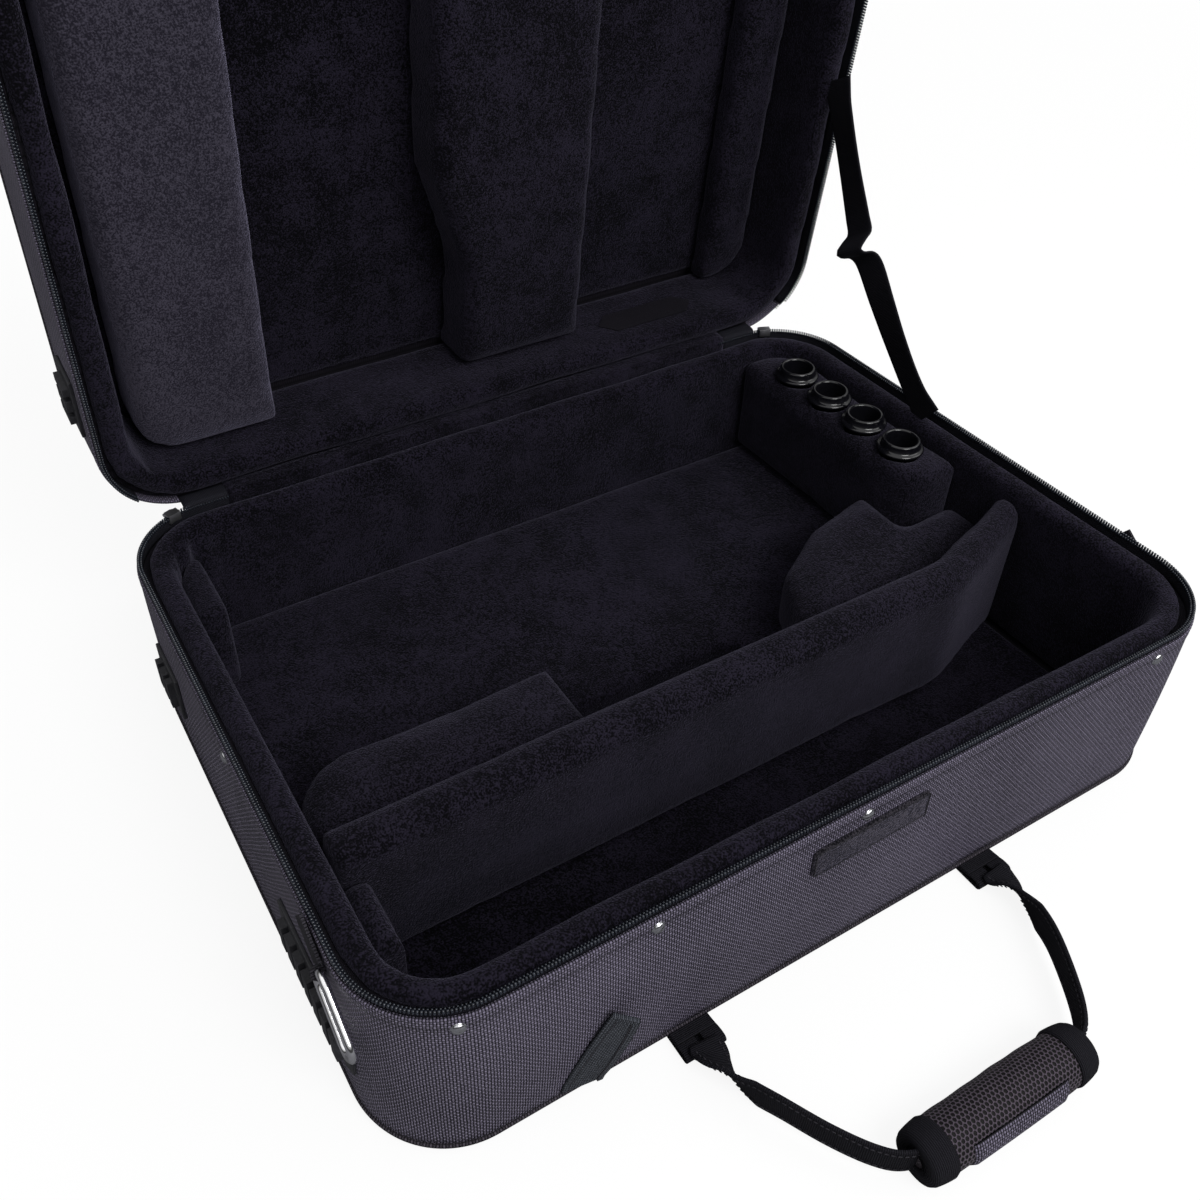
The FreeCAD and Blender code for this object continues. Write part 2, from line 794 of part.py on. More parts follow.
def mouthpiece_block():
    body = new_body("mouthpiece_block")
    box_in(body, "block_foam", BLOCK_LEFT, BLOCK_FRONT, HORN_PAD_LOW, S.block_width,
           S.block_depth, S.block_height - HORN_PAD_LOW)
    round_edges(body, "block_back_corner", BAY_ROUND, upright_at(BAY_X, BAY_Y))
    round_edges(body, "block_front_corner", S.block_round, upright_at(BLOCK_LEFT, BLOCK_FRONT))
    bevel_edges(body, "block_crown", S.block_top_bevel, at_level(S.block_height))
    sketch = new_sketch(body, "first_hole_outline", HORN_PAD_LOW)
    radius = SLEEVE_RADIUS + S.pad_gap
    circle = Part.Circle(Vector(float(SLEEVE_X), float(SLEEVE_FRONT), 0), Vector(0, 0, 1),
                         float(radius))
    sketch.addGeometry(circle, False)
    bind(sketch, "DistanceX", -1, 1, 0, 3, SLEEVE_X)
    bind(sketch, "DistanceY", -1, 1, 0, 3, SLEEVE_FRONT)
    rule = Sketcher.Constraint("Radius", 0, float(radius))
    sketch.setExpression("Constraints[" + str(sketch.addConstraint(rule)) + "]", radius.words)
    hole = pocket(body, "first_hole", sketch, S.block_height)
    row = body.newObject("PartDesign::LinearPattern", "four_holes")
    row.Originals = [hole]
    row.Direction = (sketch, ["V_Axis"])
    row.setExpression("Length", (S.sleeve_pitch * 3).words)
    row.Occurrences = 4
    body.Tip = row


def mouthpiece_sleeves():
    """Blind cups in a row, each with a flange on the block and a collar round its mouth."""
    top = float(S.block_height)
    bore = float(S.sleeve_bore) / 2
    depth = float(S.sleeve_depth)
    flange_top = float(S.sleeve_flange_thickness)
    collar_top = flange_top + float(S.sleeve_collar_height)
    profile = [(SLEEVE_RADIUS, -depth - float(S.sleeve_floor), 0, 16),
               (S.sleeve_flange / 2, 0, flange_top, 20),
               (S.sleeve_collar / 2, flange_top, collar_top, 20)]
    cups = []
    for index in range(4):
        at = Vector(float(SLEEVE_X), float(SLEEVE_FRONT + S.sleeve_pitch * index), top)
        parts = [barrel([(low, radius), (high, radius)], sides, at, Vector(0, 0, 1))
                 for radius, low, high, sides in profile]
        bored = Part.makeCylinder(bore, depth + collar_top, at - Vector(0, 0, depth))
        cups.append(parts[0].multiFuse(parts[1:]).cut(bored).removeSplitter())
    feature_of("mouthpiece_sleeves", Part.makeCompound(cups))


# Zipper


TAPE_INNER = S.cover_thickness + S.tape_thickness
COIL_Z = S.closing_height - S.coil_half_gap - S.coil_radius
LID_COIL_Z = S.closing_height + S.coil_half_gap + S.coil_radius
BASE_TAPE_LOW = BOARD_TOP + S.fit_gap
BASE_TAPE_HIGH = COIL_Z - S.coil_radius - S.fit_gap
LID_TAPE_LOW = LID_COIL_Z + S.coil_radius + S.fit_gap
LID_TAPE_HIGH = LID_BOARD_LOW - S.fit_gap


def base_back_cut():
    """The stretch of the back where the base has no zipper."""
    half = float(ARC_X - S.zip_back_run)
    far = float(S.case_width)
    return Part.makeBox(2 * half, far, float(LID_TOP), Vector(-half, 0, 0))


def lid_back_cut():
    """The back and the near halves of its corners, where the lid has no zipper."""
    angle = math.radians(float(S.lid_coil_start_angle))
    far = float(S.case_width)
    x = float(ARC_X)
    y = float(ARC_Y)
    side = x + far * math.sin(angle)
    back = y + far * math.cos(angle)
    plan = [Vector(-x, y, 0), Vector(x, y, 0), Vector(side, back, 0), Vector(-side, back, 0)]
    return Part.Face(Part.makePolygon(plan + plan[:1])).extrude(Vector(0, 0, float(LID_TOP)))


def zip_band(label, low, high, cut, place=None):
    outer = outline_prism(S.cover_thickness, low, high)
    band = outer.cut(outline_prism(TAPE_INNER, low, high))
    feature_of(label, band.cut(cut), place)


def zip_coil(label, level, cut, place=None):
    coil = swept(outline_path(ZIP_INSET, level).Edges, square_section(S.coil_radius))
    feature_of(label, coil.cut(cut), place)


# Wall fittings


def wall_place(x):
    """Where the front wall is at x, and the way out of it there."""
    over = abs(float(x)) - float(ARC_X)
    if over <= 0:
        return Vector(float(x), -float(S.case_width) / 2, 0), Vector(0, -1, 0)
    angle = math.asin(over / float(S.corner_radius))
    out = Vector(math.copysign(math.sin(angle), float(x)), -math.cos(angle), 0)
    centre = Vector(math.copysign(float(ARC_X), float(x)), -float(ARC_Y), 0)
    return centre + out * float(S.corner_radius), out


def rivet(at, out):
    """A rivet head: a flat-topped cone of flat sides on the wall."""
    return barrel([(0, S.rivet_radius), (S.rivet_rise, S.rivet_crown_radius)], 10, at, out)


def base_rivets():
    height = Vector(0, 0, float(S.rivet_height))
    heads = []
    half = S.case_length / 2
    for x in (S.rivet_first - half, S.rivet_second - half, -S.rivet_third,
              half - S.rivet_fourth):
        at, out = wall_place(x)
        heads.append(rivet(at + height, out))
    side = Vector(-float(S.case_length) / 2, -float(S.end_rivet_offset), 0)
    left = rivet(side + height, Vector(-1, 0, 0))
    feature_of("base_rivets", Part.makeCompound(heads + [left, mirrored(left)]))


FRONT_SKID_LOW = S.front_skid_start - S.case_width / 2
REAR_SKID_HIGH = S.case_width / 2 - S.rear_skid_start


def skid_pair(label, low_y, high_y, middle_z, place=None):
    """Rubber skids on both ends: a thin plate and a thicker ribbed block that follow the wall."""
    def slab(outward, y_start, y_stop, height):
        low = float(middle_z) - float(height) / 2
        band = outline_prism(-outward, low, low + float(height))
        band = band.cut(outline_prism(0, low, low + float(height)))
        room = Part.makeBox(float(S.case_length), float(y_stop) - float(y_start), float(height),
                            Vector(-float(S.case_length) - float(ARC_X) + float(S.skid_rise),
                                   float(y_start), low))
        return band.common(room)

    plate = slab(S.skid_plate, low_y, high_y, S.skid_height)
    block = slab(S.skid_rise, low_y + S.skid_margin / 2, high_y - S.skid_margin / 2,
                 S.skid_block_height)
    face = -float(S.case_length) / 2 - float(S.skid_rise)
    count = int((float(high_y) - float(low_y) - float(S.skid_margin)) / float(S.skid_pitch))
    first = (float(high_y) + float(low_y) - (count - 1) * float(S.skid_pitch)) / 2
    solid = plate.fuse(block)
    for index in range(count):
        y = first + index * float(S.skid_pitch) - float(S.skid_groove) / 2
        x = wall_side_x(y) - float(S.skid_rise) + float(S.skid_groove_depth)
        groove = Part.makeBox(abs(face) - abs(x) + float(S.skid_rise), float(S.skid_groove),
                              float(S.skid_height),
                              Vector(face - float(S.skid_rise), y,
                                     float(middle_z) - float(S.skid_height) / 2))
        solid = solid.cut(groove)
    solid = solid.removeSplitter()
    feature_of(label, Part.makeCompound([solid, mirrored(solid)]), place)


def wall_side_x(y):
    """Where the left wall is at y."""
    over = max(abs(y) - float(ARC_Y), 0)
    return -float(ARC_X) - math.sqrt(float(S.corner_radius) ** 2 - over ** 2)


def loop_patch():
    body = new_body("loop_patch")
    half = S.loop_patch_length / 2
    box_in(body, "patch_strip", -half - S.loop_patch_centre,
           -(S.case_width / 2) - S.loop_patch_thickness, S.loop_patch_level
           - S.loop_patch_height / 2, S.loop_patch_length, S.loop_patch_thickness,
           S.loop_patch_height)


def web_tab():
    """A pull tab of webbing: sewn flat at its foot, then leaning off the wall."""
    width = float(S.web_tab_width)
    thick = float(S.web_tab_thickness)
    sewn = float(S.web_tab_sewn)
    corner = Vector(-width / 2, -thick, 0)
    foot = Part.makeBox(width, thick, sewn, corner)
    flap = Part.makeBox(width, thick, float(S.web_tab_length) - sewn,
                        corner + Vector(0, 0, sewn))
    flap.rotate(Vector(0, 0, sewn), Vector(1, 0, 0), float(S.web_tab_lean))
    tab = foot.fuse(flap).removeSplitter()
    at = Vector(float(S.web_tab_x - S.case_length / 2), -float(S.case_width) / 2,
                float(S.web_tab_z))
    tab.Placement = Placement(at, Rotation(Vector(0, 1, 0), float(S.web_tab_tilt)))
    feature_of("web_tab", tab)


# Rings on the ends


RING_STAND = S.ring_wire + S.fit_gap + S.ring_tab_thickness + S.fit_gap
RING_KNUCKLE = S.ring_wire + S.fit_gap + S.ring_tab_thickness
RING_SLOPE = math.radians(float(S.ring_slope))
RING_ALONG = Vector(0, -math.cos(RING_SLOPE), -math.sin(RING_SLOPE))
RING_ACROSS = Vector(0, math.sin(RING_SLOPE), -math.cos(RING_SLOPE))
RING_PIVOT = Vector(-float(S.case_length / 2 + RING_STAND),
                    float(S.ring_y - S.case_width / 2), float(S.ring_z))


def ring_points():
    """The wire's centre line: a rounded rectangle hanging from the middle of a short side."""
    r = float(S.ring_corner)
    half = float(S.ring_width) / 2 - float(S.ring_wire)
    long = float(S.ring_length) - 2 * float(S.ring_wire)
    centres = ((half - r, long - r), (r - half, long - r), (r - half, r), (half - r, r))
    points = []
    for quarter, (across, along) in enumerate(centres):
        for step in range(CORNER_STEPS + 1):
            angle = math.pi / 2 * (quarter + step / CORNER_STEPS)
            points.append(RING_PIVOT + RING_ACROSS * (across + r * math.cos(angle))
                          + RING_ALONG * (along + r * math.sin(angle)))
    return points


def rings():
    flat = float(S.ring_wire) * math.cos(math.pi / 8)
    left = mitred_cord(ring_points(), Vector(1, 0, 0), flat, 8)
    feature_of("left_ring", left)
    feature_of("right_ring", mirrored(left))


def ring_tabs():
    """A web tab sewn to each end, folded into a loop that holds the ring."""
    loop = float(S.ring_loop_width)
    start = RING_PIVOT - RING_ACROSS * (loop / 2)
    knuckle = barrel([(0, RING_KNUCKLE), (loop, RING_KNUCKLE)], 10, start, RING_ACROSS)
    bore = Part.makeCylinder(float(S.ring_wire + S.fit_gap), loop, start, RING_ACROSS)
    turn = Rotation(RING_ALONG * -1, RING_ACROSS, Vector(1, 0, 0), "XYZ")
    plate = Part.makeBox(float(S.ring_tab_length), float(S.ring_tab_width),
                         float(S.ring_tab_thickness))
    plate.Placement = Placement(
        Vector(-float(S.case_length) / 2 - float(S.ring_tab_thickness), 0, 0)
        + Vector(0, RING_PIVOT.y, RING_PIVOT.z) + RING_ALONG * -float(RING_KNUCKLE)
        - RING_ACROSS * (float(S.ring_tab_width) / 2), turn)
    neck = Part.makeBox(float(RING_KNUCKLE), loop, float(S.ring_tab_thickness))
    neck.Placement = Placement(
        Vector(-float(S.case_length) / 2 - float(S.ring_tab_thickness), 0, 0)
        + Vector(0, RING_PIVOT.y, RING_PIVOT.z) - RING_ACROSS * (loop / 2), turn)
    tab = knuckle.multiFuse([plate, neck]).cut(bore).removeSplitter()
    feature_of("ring_tabs", Part.makeCompound([tab, mirrored(tab)]))


# Carry handle


HANDLE_PIVOT_Z = S.anchor_lift + S.fit_gap + S.anchor_knuckle
HANDLE_PIVOT_Y = -(S.case_width / 2) - S.anchor_length
HANDLE_BAR = S.anchor_knuckle - S.anchor_thickness * 0.75
GRIP_Y = -(S.case_width / 2) - S.handle_reach
GRIP_Z = S.grip_lift + S.grip_radius
WEB_LOW = GRIP_Z - S.handle_web_width / 2
WEB_HIGH = GRIP_Z + S.handle_web_width / 2
WEB_ROOT_Y = HANDLE_PIVOT_Y - S.handle_root


def handle_anchors():
    """Web stubs from under the front edge, each folded into two knuckles."""
    width = float(S.anchor_width)
    slot = float(S.handle_web_thickness) + 2 * float(S.pad_gap)
    back = -float(S.case_width) / 2 + float(PANEL_INSET) - float(S.fit_gap)
    pivot_y = float(HANDLE_PIVOT_Y)
    pivot_z = float(HANDLE_PIVOT_Z)
    stubs = []
    for side in (-1, 1):
        x = side * float(S.handle_half_span) - float(S.handle_offset)
        start = Vector(x - width / 2, pivot_y, pivot_z)
        strip = Part.makeBox(width, back - pivot_y, float(S.anchor_thickness),
                             Vector(x - width / 2, pivot_y, float(S.anchor_lift)))
        knuckle = barrel([(0, S.anchor_knuckle), (width, S.anchor_knuckle)], 10, start,
                         Vector(1, 0, 0))
        bore = Part.makeCylinder(float(HANDLE_BAR + S.running_fit), width, start,
                                 Vector(1, 0, 0))
        gap = Part.makeBox(slot, 4 * float(S.anchor_knuckle), 4 * float(S.anchor_knuckle),
                           Vector(x - slot / 2, pivot_y - 3 * float(S.anchor_knuckle), 0))
        stubs.append(knuckle.fuse(strip).cut(bore).cut(gap).removeSplitter())
    feature_of("handle_anchors", Part.makeCompound(stubs))


def handle_web():
    """A strap on edge: out from the knuckles, in an arc to the grip and straight through it."""
    span = float(S.handle_half_span)
    end_x = float(S.grip_length) / 2 + float(S.handle_web_thickness)
    root = Vector(span, float(WEB_ROOT_Y), float(GRIP_Z))
    mouth = Vector(end_x, float(GRIP_Y), float(GRIP_Z))
    chord = mouth - root
    out = Vector(-chord.y, chord.x, 0).normalize() * float(S.handle_bow)
    arc = Part.Arc(root, (root + mouth) * 0.5 + out, mouth).toShape()
    run = Part.LineSegment(mouth, Vector(0, mouth.y, mouth.z)).toShape()
    up = Vector(0, 0, float(S.handle_web_width))
    half = swept([arc, run], strip_section(up, S.handle_web_thickness))
    join = S.handle_web_thickness / 2
    joins = [barrel([(0, join), (S.handle_web_width, join)], 8, at - up * 0.5, Vector(0, 0, 1))
             for at in (root, mouth)]
    half = half.multiFuse(joins + [handle_root(span)]).cut(above_taper())
    whole = half.fuse(mirrored(half)).removeSplitter()
    whole.translate(Vector(-float(S.handle_offset), 0, 0))
    feature_of("handle_web", whole)


def above_taper():
    """The room over the strap where it narrows towards its knuckles."""
    root_y = float(WEB_ROOT_Y)
    root_top = float(WEB_LOW + S.handle_root_height)
    full_y = root_y - float(S.handle_taper)
    full_top = float(WEB_HIGH)
    far = full_top + float(S.handle_web_width)
    near_y = root_y + float(S.handle_web_thickness)
    side = [(root_y, root_top), (full_y, full_top), (full_y, far), (near_y, far),
            (near_y, root_top)]
    loop = [Vector(0, y, z) for y, z in side]
    face = Part.Face(Part.makePolygon(loop + loop[:1]))
    return face.extrude(Vector(float(S.case_length) / 2, 0, 0))


def handle_root(span):
    """The end of the strap, narrowed down to the bar that turns in the knuckles."""
    thick = float(S.handle_web_thickness)
    x = span - thick / 2
    y = float(HANDLE_PIVOT_Y)
    z = float(HANDLE_PIVOT_Z)
    bar = float(HANDLE_BAR)
    root_y = float(WEB_ROOT_Y)
    root_top = float(WEB_LOW + S.handle_root_height)
    side = [(y + bar, z), (y, z - bar), (root_y, float(WEB_LOW)), (root_y, root_top),
            (y, z + 2 * bar), (y + bar, z)]
    face = Part.Face(Part.makePolygon([Vector(x, a, b) for a, b in side]))
    width = float(S.anchor_width)
    pin = Part.makeCylinder(bar, width, Vector(span - width / 2, y, z), Vector(1, 0, 0))
    return face.extrude(Vector(thick, 0, 0)).fuse(pin)


def grip_stations():
    """The grip's half outline from its right end to its left: places along X and radii."""
    end = S.grip_length / 2
    right = [(end, S.grip_end_radius), (S.grip_shoulder_at, S.grip_shoulder_radius)]
    middle = [(S.grip_shoulder_at / 3, S.grip_radius), (-S.grip_shoulder_at / 3, S.grip_radius)]
    left = [(-x, radius) for x, radius in reversed(right)]
    return right + middle + left


def grip_body(extra):
    """The crowned shape of the grip, with extra on its radius."""
    middle = Vector(-float(S.handle_offset), float(GRIP_Y), float(GRIP_Z))
    return barrel([(x, radius + extra) for x, radius in grip_stations()], 16, middle,
                  Vector(1, 0, 0))


def handle_grip():
    half = float(S.grip_length) / 2
    tall = float(S.handle_web_width) + 2 * float(S.fit_gap)
    thick = float(S.handle_web_thickness) + 2 * float(S.fit_gap)
    slot = Part.makeBox(2 * half, thick, tall,
                        Vector(-half - float(S.handle_offset), float(GRIP_Y) - thick / 2,
                               float(GRIP_Z) - tall / 2))
    feature_of("handle_grip", grip_body(0).cut(slot))


def handle_bindings():
    """Ribbed web wound round both ends of the grip."""
    gap = S.fit_gap
    shell = grip_body(gap + S.binding_thickness).cut(grip_body(gap))
    reach = float(S.grip_length) / 2 - float(S.binding_length)
    inside = Part.makeBox(2 * reach, 4 * float(S.grip_radius), 4 * float(S.grip_radius),
                          Vector(-reach - float(S.handle_offset),
                                 float(GRIP_Y) - 2 * float(S.grip_radius),
                                 float(GRIP_Z) - 2 * float(S.grip_radius)))
    feature_of("handle_bindings", shell.cut(inside))


def handle_closure():
    """The flap that closes the grip, along its outer side."""
    shell = grip_body(S.fit_gap + S.closure_thickness).cut(grip_body(S.fit_gap))
    size = Vector(float(S.closure_length), 2 * float(S.grip_radius), float(S.closure_width))
    corner = Vector(-float(S.handle_offset) - size.x / 2,
                    float(GRIP_Y) - size.y - float(S.grip_radius) / 2,
                    float(GRIP_Z) - size.z / 2)
    feature_of("handle_closure", shell.common(Part.makeBox(size.x, size.y, size.z, corner)))


# Fabric hinge and stay


def hinge_gusset():
    """Fabric along the back: up inside the base, round the hinge line and into the lid."""
    half = ARC_X - S.zip_back_run - S.side_gap
    turn = math.radians(float(S.lid_open_angle))
    bend = float(S.gusset_bend)
    run = bend * math.tan(turn / 2)
    ahead = Vector(0, math.sin(turn), math.cos(turn))
    foot = Vector(0, HINGE.y, float(BASE_TAPE_LOW))
    first = HINGE - Vector(0, 0, run)
    last = HINGE + ahead * run
    centre = first + Vector(0, bend, 0)
    middle = centre + Vector(0, -math.cos(turn / 2), math.sin(turn / 2)) * bend
    end = HINGE + ahead * (float(LID_TAPE_HIGH) - HINGE.z)
    path = [Part.LineSegment(foot, first).toShape(), Part.Arc(first, middle, last).toShape(),
            Part.LineSegment(last, end).toShape()]
    side = Vector(2 * float(half), 0, 0)
    feature_of("hinge_gusset", swept(path, strip_section(side, S.tape_thickness)))


def lid_stay():
    """A web strap from the base's lip to the lid's lip, folded sharply where it hangs slack."""
    x = float(S.case_length) / 2 - float(S.stay_inset) - float(S.stay_thickness) / 2
    half = float(S.stay_width) / 2
    base_half = float(S.stay_base_width) / 2
    base_z = float(LIP_TOP + S.fit_gap)
    base_y = float(HINGE_Y - S.stay_base_y)
    fold = Vector(x, float(HINGE_Y - S.stay_fold_y), float(S.stay_fold_z))
    slant = Vector(0, math.sqrt(0.5), -math.sqrt(0.5)) * half
    tip = fold + Vector(0, float(S.stay_fold_reach), -float(S.stay_fold_drop))
    lid_z = float(LID_LIP_LOW - S.fit_gap)
    lid_y = float(HINGE_Y - S.stay_lid_reach)
    ends = [LID_PLACE.multVec(Vector(x, lid_y + side * base_half, lid_z)) for side in (1, -1)]
    loop = [Vector(x, base_y - base_half, base_z), Vector(x, base_y + base_half, base_z),
            tip + slant * 0.5, fold + slant, ends[0], ends[1], fold - slant]
    face = Part.Face(Part.makePolygon(loop + loop[:1]))
    feature_of("lid_stay", face.extrude(Vector(float(S.stay_thickness), 0, 0)))


# Sliders


SLIDER_TOP = COIL_Z + S.coil_radius + S.side_gap + S.slider_plate
SLIDER_LOW = SLIDER_TOP - S.slider_height
SLIDER_OUT = S.coil_radius + S.slider_clearance + S.slider_plate - ZIP_INSET
PULL_OUT = SLIDER_OUT + S.side_gap + S.pull_barrel_radius
PULL_Z = (SLIDER_TOP + SLIDER_LOW) / 2
PULL_RADIUS = S.corner_radius + PULL_OUT
SLIDER_TURN = Placement(Vector(-float(ARC_X), float(ARC_Y), 0),
                        Rotation(Vector(0, 0, 1), 90 + float(S.slider_park_angle)))


def slider_parts():
    """A channel over the base's coil with a pin between two cheeks; X points out of the wall."""
    low = float(SLIDER_LOW)
    top = float(SLIDER_TOP)
    plate = float(S.slider_plate)
    foot = float(S.slider_foot)
    outer = float(S.corner_radius + SLIDER_OUT)
    inner = float(S.corner_radius - ZIP_INSET - S.coil_radius - S.slider_clearance) - plate
    outline = [(outer, low), (outer, top), (inner, top), (inner, low),
               (inner + plate + foot, low), (inner + plate + foot, low + plate),
               (inner + plate, low + plate), (inner + plate, top - plate),
               (outer - plate, top - plate), (outer - plate, low + plate),
               (outer - plate - foot, low + plate), (outer - plate - foot, low)]
    loop = [Vector(x, 0, z) for x, z in outline]
    face = Part.Face(Part.makePolygon(loop + loop[:1]))
    face.rotate(Vector(0, 0, 0), Vector(0, 0, 1), -float(S.slider_angle) / 2)
    channel = face.revolve(Vector(0, 0, 0), Vector(0, 0, 1), float(S.slider_angle))
    pin_x = float(PULL_RADIUS)
    pin_z = float(PULL_Z)
    lug = float(S.slider_lug)
    ear = float(S.slider_lug_radius)
    near_side = float(S.pull_barrel_length) / 2 + float(S.side_gap)
    parts = [Part.makeCylinder(float(S.pull_pin_radius), 2 * near_side,
                               Vector(pin_x, -near_side, pin_z), Vector(0, 1, 0))]
    for start in (-near_side - lug, near_side):
        parts.append(barrel([(0, ear), (lug, ear)], 12, Vector(pin_x, start, pin_z),
                            Vector(0, 1, 0)))
        root_x = outer - plate / 2
        parts.append(Part.makeBox(pin_x - root_x, lug, 2 * ear,
                                  Vector(root_x, start, pin_z - ear)))
    return channel.multiFuse(parts).removeSplitter()


def pull_parts():
    """A flat tab that hangs from its barrel on the slider's pin."""
    x = float(PULL_RADIUS)
    z = float(PULL_Z)
    half = float(S.pull_width) / 2
    thick = float(S.pull_thickness)
    barrel_half = float(S.pull_barrel_length) / 2
    start = Vector(x, -barrel_half, z)
    rolled = barrel([(0, S.pull_barrel_radius), (2 * barrel_half, S.pull_barrel_radius)], 12,
                    start, Vector(0, 1, 0))
    bore = Part.makeCylinder(float(S.pull_pin_radius + S.running_fit), 2 * barrel_half, start,
                             Vector(0, 1, 0))
    shoulder = z - float(S.pull_barrel_radius) - 2 * float(S.side_gap)
    foot = z - float(S.pull_length) + half
    neck = Part.makeBox(thick, 2 * barrel_half, z - shoulder,
                        Vector(x - thick / 2, -barrel_half, shoulder))
    tab = Part.makeBox(thick, 2 * half, shoulder - foot, Vector(x - thick / 2, -half, foot))
    centre = Vector(x - thick / 2, 0, foot)
    end = barrel([(0, half), (thick, half)], 20, centre, Vector(1, 0, 0))
    hole = barrel([(0, S.pull_hole_radius), (thick, S.pull_hole_radius)], 12, centre,
                  Vector(1, 0, 0))
    return rolled.multiFuse([neck, tab, end]).cut(bore).cut(hole).removeSplitter()


def sliders():
    for name, shape in (("slider", slider_parts()), ("pull", pull_parts())):
        shape.Placement = SLIDER_TURN.multiply(shape.Placement)
        feature_of("left_" + name, shape)
        feature_of("right_" + name, mirrored(shape))


# Lid, modelled shut and then swung open about the hinge line


def lid_side_cover():
    body = new_body("lid_side_cover")
    sketch = new_sketch(body, "lid_cover_outline", LID_COVER_LOW)
    full_loop(sketch)
    inset_loop(sketch, S.cover_thickness)
    pad(body, "lid_cover_wall", sketch, LID_TOP - S.piping_lift - SEAM - LID_COVER_LOW)
    body.Placement = LID_PLACE


def lid_top_panel():
    body = new_body("lid_top_panel")
    sketch = new_sketch(body, "lid_panel_outline", LID_TOP - S.cover_thickness)
    inset_loop(sketch, PANEL_INSET)
    pad(body, "lid_panel_plate", sketch, S.cover_thickness)
    body.Placement = LID_PLACE


def lid_piping():
    feature_of("lid_piping", piping(LID_TOP - S.piping_lift), LID_PLACE)


def lid_frame():
    body = new_body("lid_frame")
    sketch = new_sketch(body, "lid_board_outline", LID_BOARD_LOW)
    inset_loop(sketch, FRAME_INSET)
    pad(body, "lid_board_box", sketch, LID_BOARD_TOP - LID_BOARD_LOW)
    bevel_edges(body, "lid_board_edge", S.board_edge_bevel, at_level(LID_BOARD_TOP))
    hollow = new_sketch(body, "lid_board_hollow", LID_BOARD_LOW)
    inset_loop(hollow, BOARD_INNER_INSET)
    depth = LID_BOARD_TOP - LID_BOARD_LOW - S.lid_board_thickness
    pocket(body, "lid_board_inside", hollow, depth)
    body.Placement = LID_PLACE


def lid_lining():
    body = new_body("lid_lining")
    wall = new_sketch(body, "lid_lining_outline", LID_BOARD_LOW)
    inset_loop(wall, LINING_INSET)
    inset_loop(wall, S.wall_inset)
    pad(body, "lid_lining_wall", wall, LID_CEILING_TOP - LID_BOARD_LOW)
    lip = new_sketch(body, "lid_lip_outline", LID_LIP_LOW)
    inset_loop(lip, S.lip_inset)
    inset_loop(lip, S.wall_inset)
    pad(body, "lid_lining_lip", lip, LID_BOARD_LOW - LID_LIP_LOW)
    bevel_edges(body, "lid_lip_outside", S.lip_outer_bevel, rim_at(LID_LIP_LOW, S.lip_inset))
    bevel_edges(body, "lid_lip_crown", S.lip_inner_bevel, rim_at(LID_LIP_LOW, S.wall_inset))
    body.Placement = LID_PLACE


def lid_ceiling_pad():
    body = new_body("lid_ceiling_pad")
    sketch = new_sketch(body, "lid_ceiling_outline", LID_CEILING_LOW)
    inset_loop(sketch, BAY_INSET)
    pad(body, "lid_ceiling_sheet", sketch, S.lid_ceiling_thickness)
    body.Placement = LID_PLACE


def lid_left_block():
    body = new_body("lid_left_block")
    face = S.closing_height + S.lid_block_drop
    left = S.left_block_start - S.case_length / 2
    box_in(body, "left_block_foam", left, -BAY_Y, face, S.left_block_width, BAY_Y * 2,
           LID_PAD_TOP - face)
    ends = [(left, -BAY_Y), (left, BAY_Y)]
    round_edges(body, "left_block_corners", BAY_ROUND,
                lambda edge: any(upright_at(x, y)(edge) for x, y in ends))
    bevel_edges(body, "left_block_face", S.lid_block_bevel, at_level(face))
    body.Placement = LID_PLACE


def lid_middle_block():
    body = new_body("lid_middle_block")
    face = S.closing_height + S.lid_block_drop
    sketch = new_sketch(body, "middle_block_plan", face)
    notch_x = S.middle_block_notch - S.middle_block_left
    polygon(sketch, [(-S.middle_block_left, -BAY_Y), (S.middle_block_right, -BAY_Y),
                     (S.middle_block_right, BAY_Y), (notch_x, BAY_Y),
                     (notch_x, HINGE_Y - S.middle_notch_start),
                     (-S.middle_block_left, HINGE_Y - S.middle_notch_end)])
    pad(body, "middle_block_foam", sketch, LID_PAD_TOP - face)
    bevel_edges(body, "middle_block_face", S.lid_block_bevel, at_level(face))
    body.Placement = LID_PLACE


def lid_right_block():
    body = new_body("lid_right_block")
    face = S.closing_height + S.right_block_drop
    left = S.case_length / 2 - S.right_block_start
    box_in(body, "right_block_foam", left, -BAY_Y, face, BAY_X - left, BAY_Y * 2,
           LID_PAD_TOP - face)
    ends = [(BAY_X, -BAY_Y), (BAY_X, BAY_Y)]
    round_edges(body, "right_block_corners", BAY_ROUND,
                lambda edge: any(upright_at(x, y)(edge) for x, y in ends))
    bevel_edges(body, "right_block_face", S.lid_block_bevel, at_level(face))
    body.Placement = LID_PLACE


def lid_wall_patch():
    """A long six-sided patch of bare fabric on the lid's wall by the hinge."""
    half = float(S.patch_length) / 2
    rise = float(S.patch_height) / 2
    x = float(S.patch_centre)
    y = float(S.case_width) / 2 - float(S.wall_inset) - float(S.patch_thickness)
    z = float(S.closing_height + S.patch_drop)
    loop = [Vector(x - half, y, z), Vector(x - half + rise, y, z - rise),
            Vector(x + half - rise, y, z - rise), Vector(x + half, y, z),
            Vector(x + half - rise, y, z + rise), Vector(x - half + rise, y, z + rise)]
    face = Part.Face(Part.makePolygon(loop + loop[:1]))
    thick = Vector(0, float(S.patch_thickness), 0)
    feature_of("lid_wall_patch", face.extrude(thick), LID_PLACE)


# Build the pieces, check them and write them out


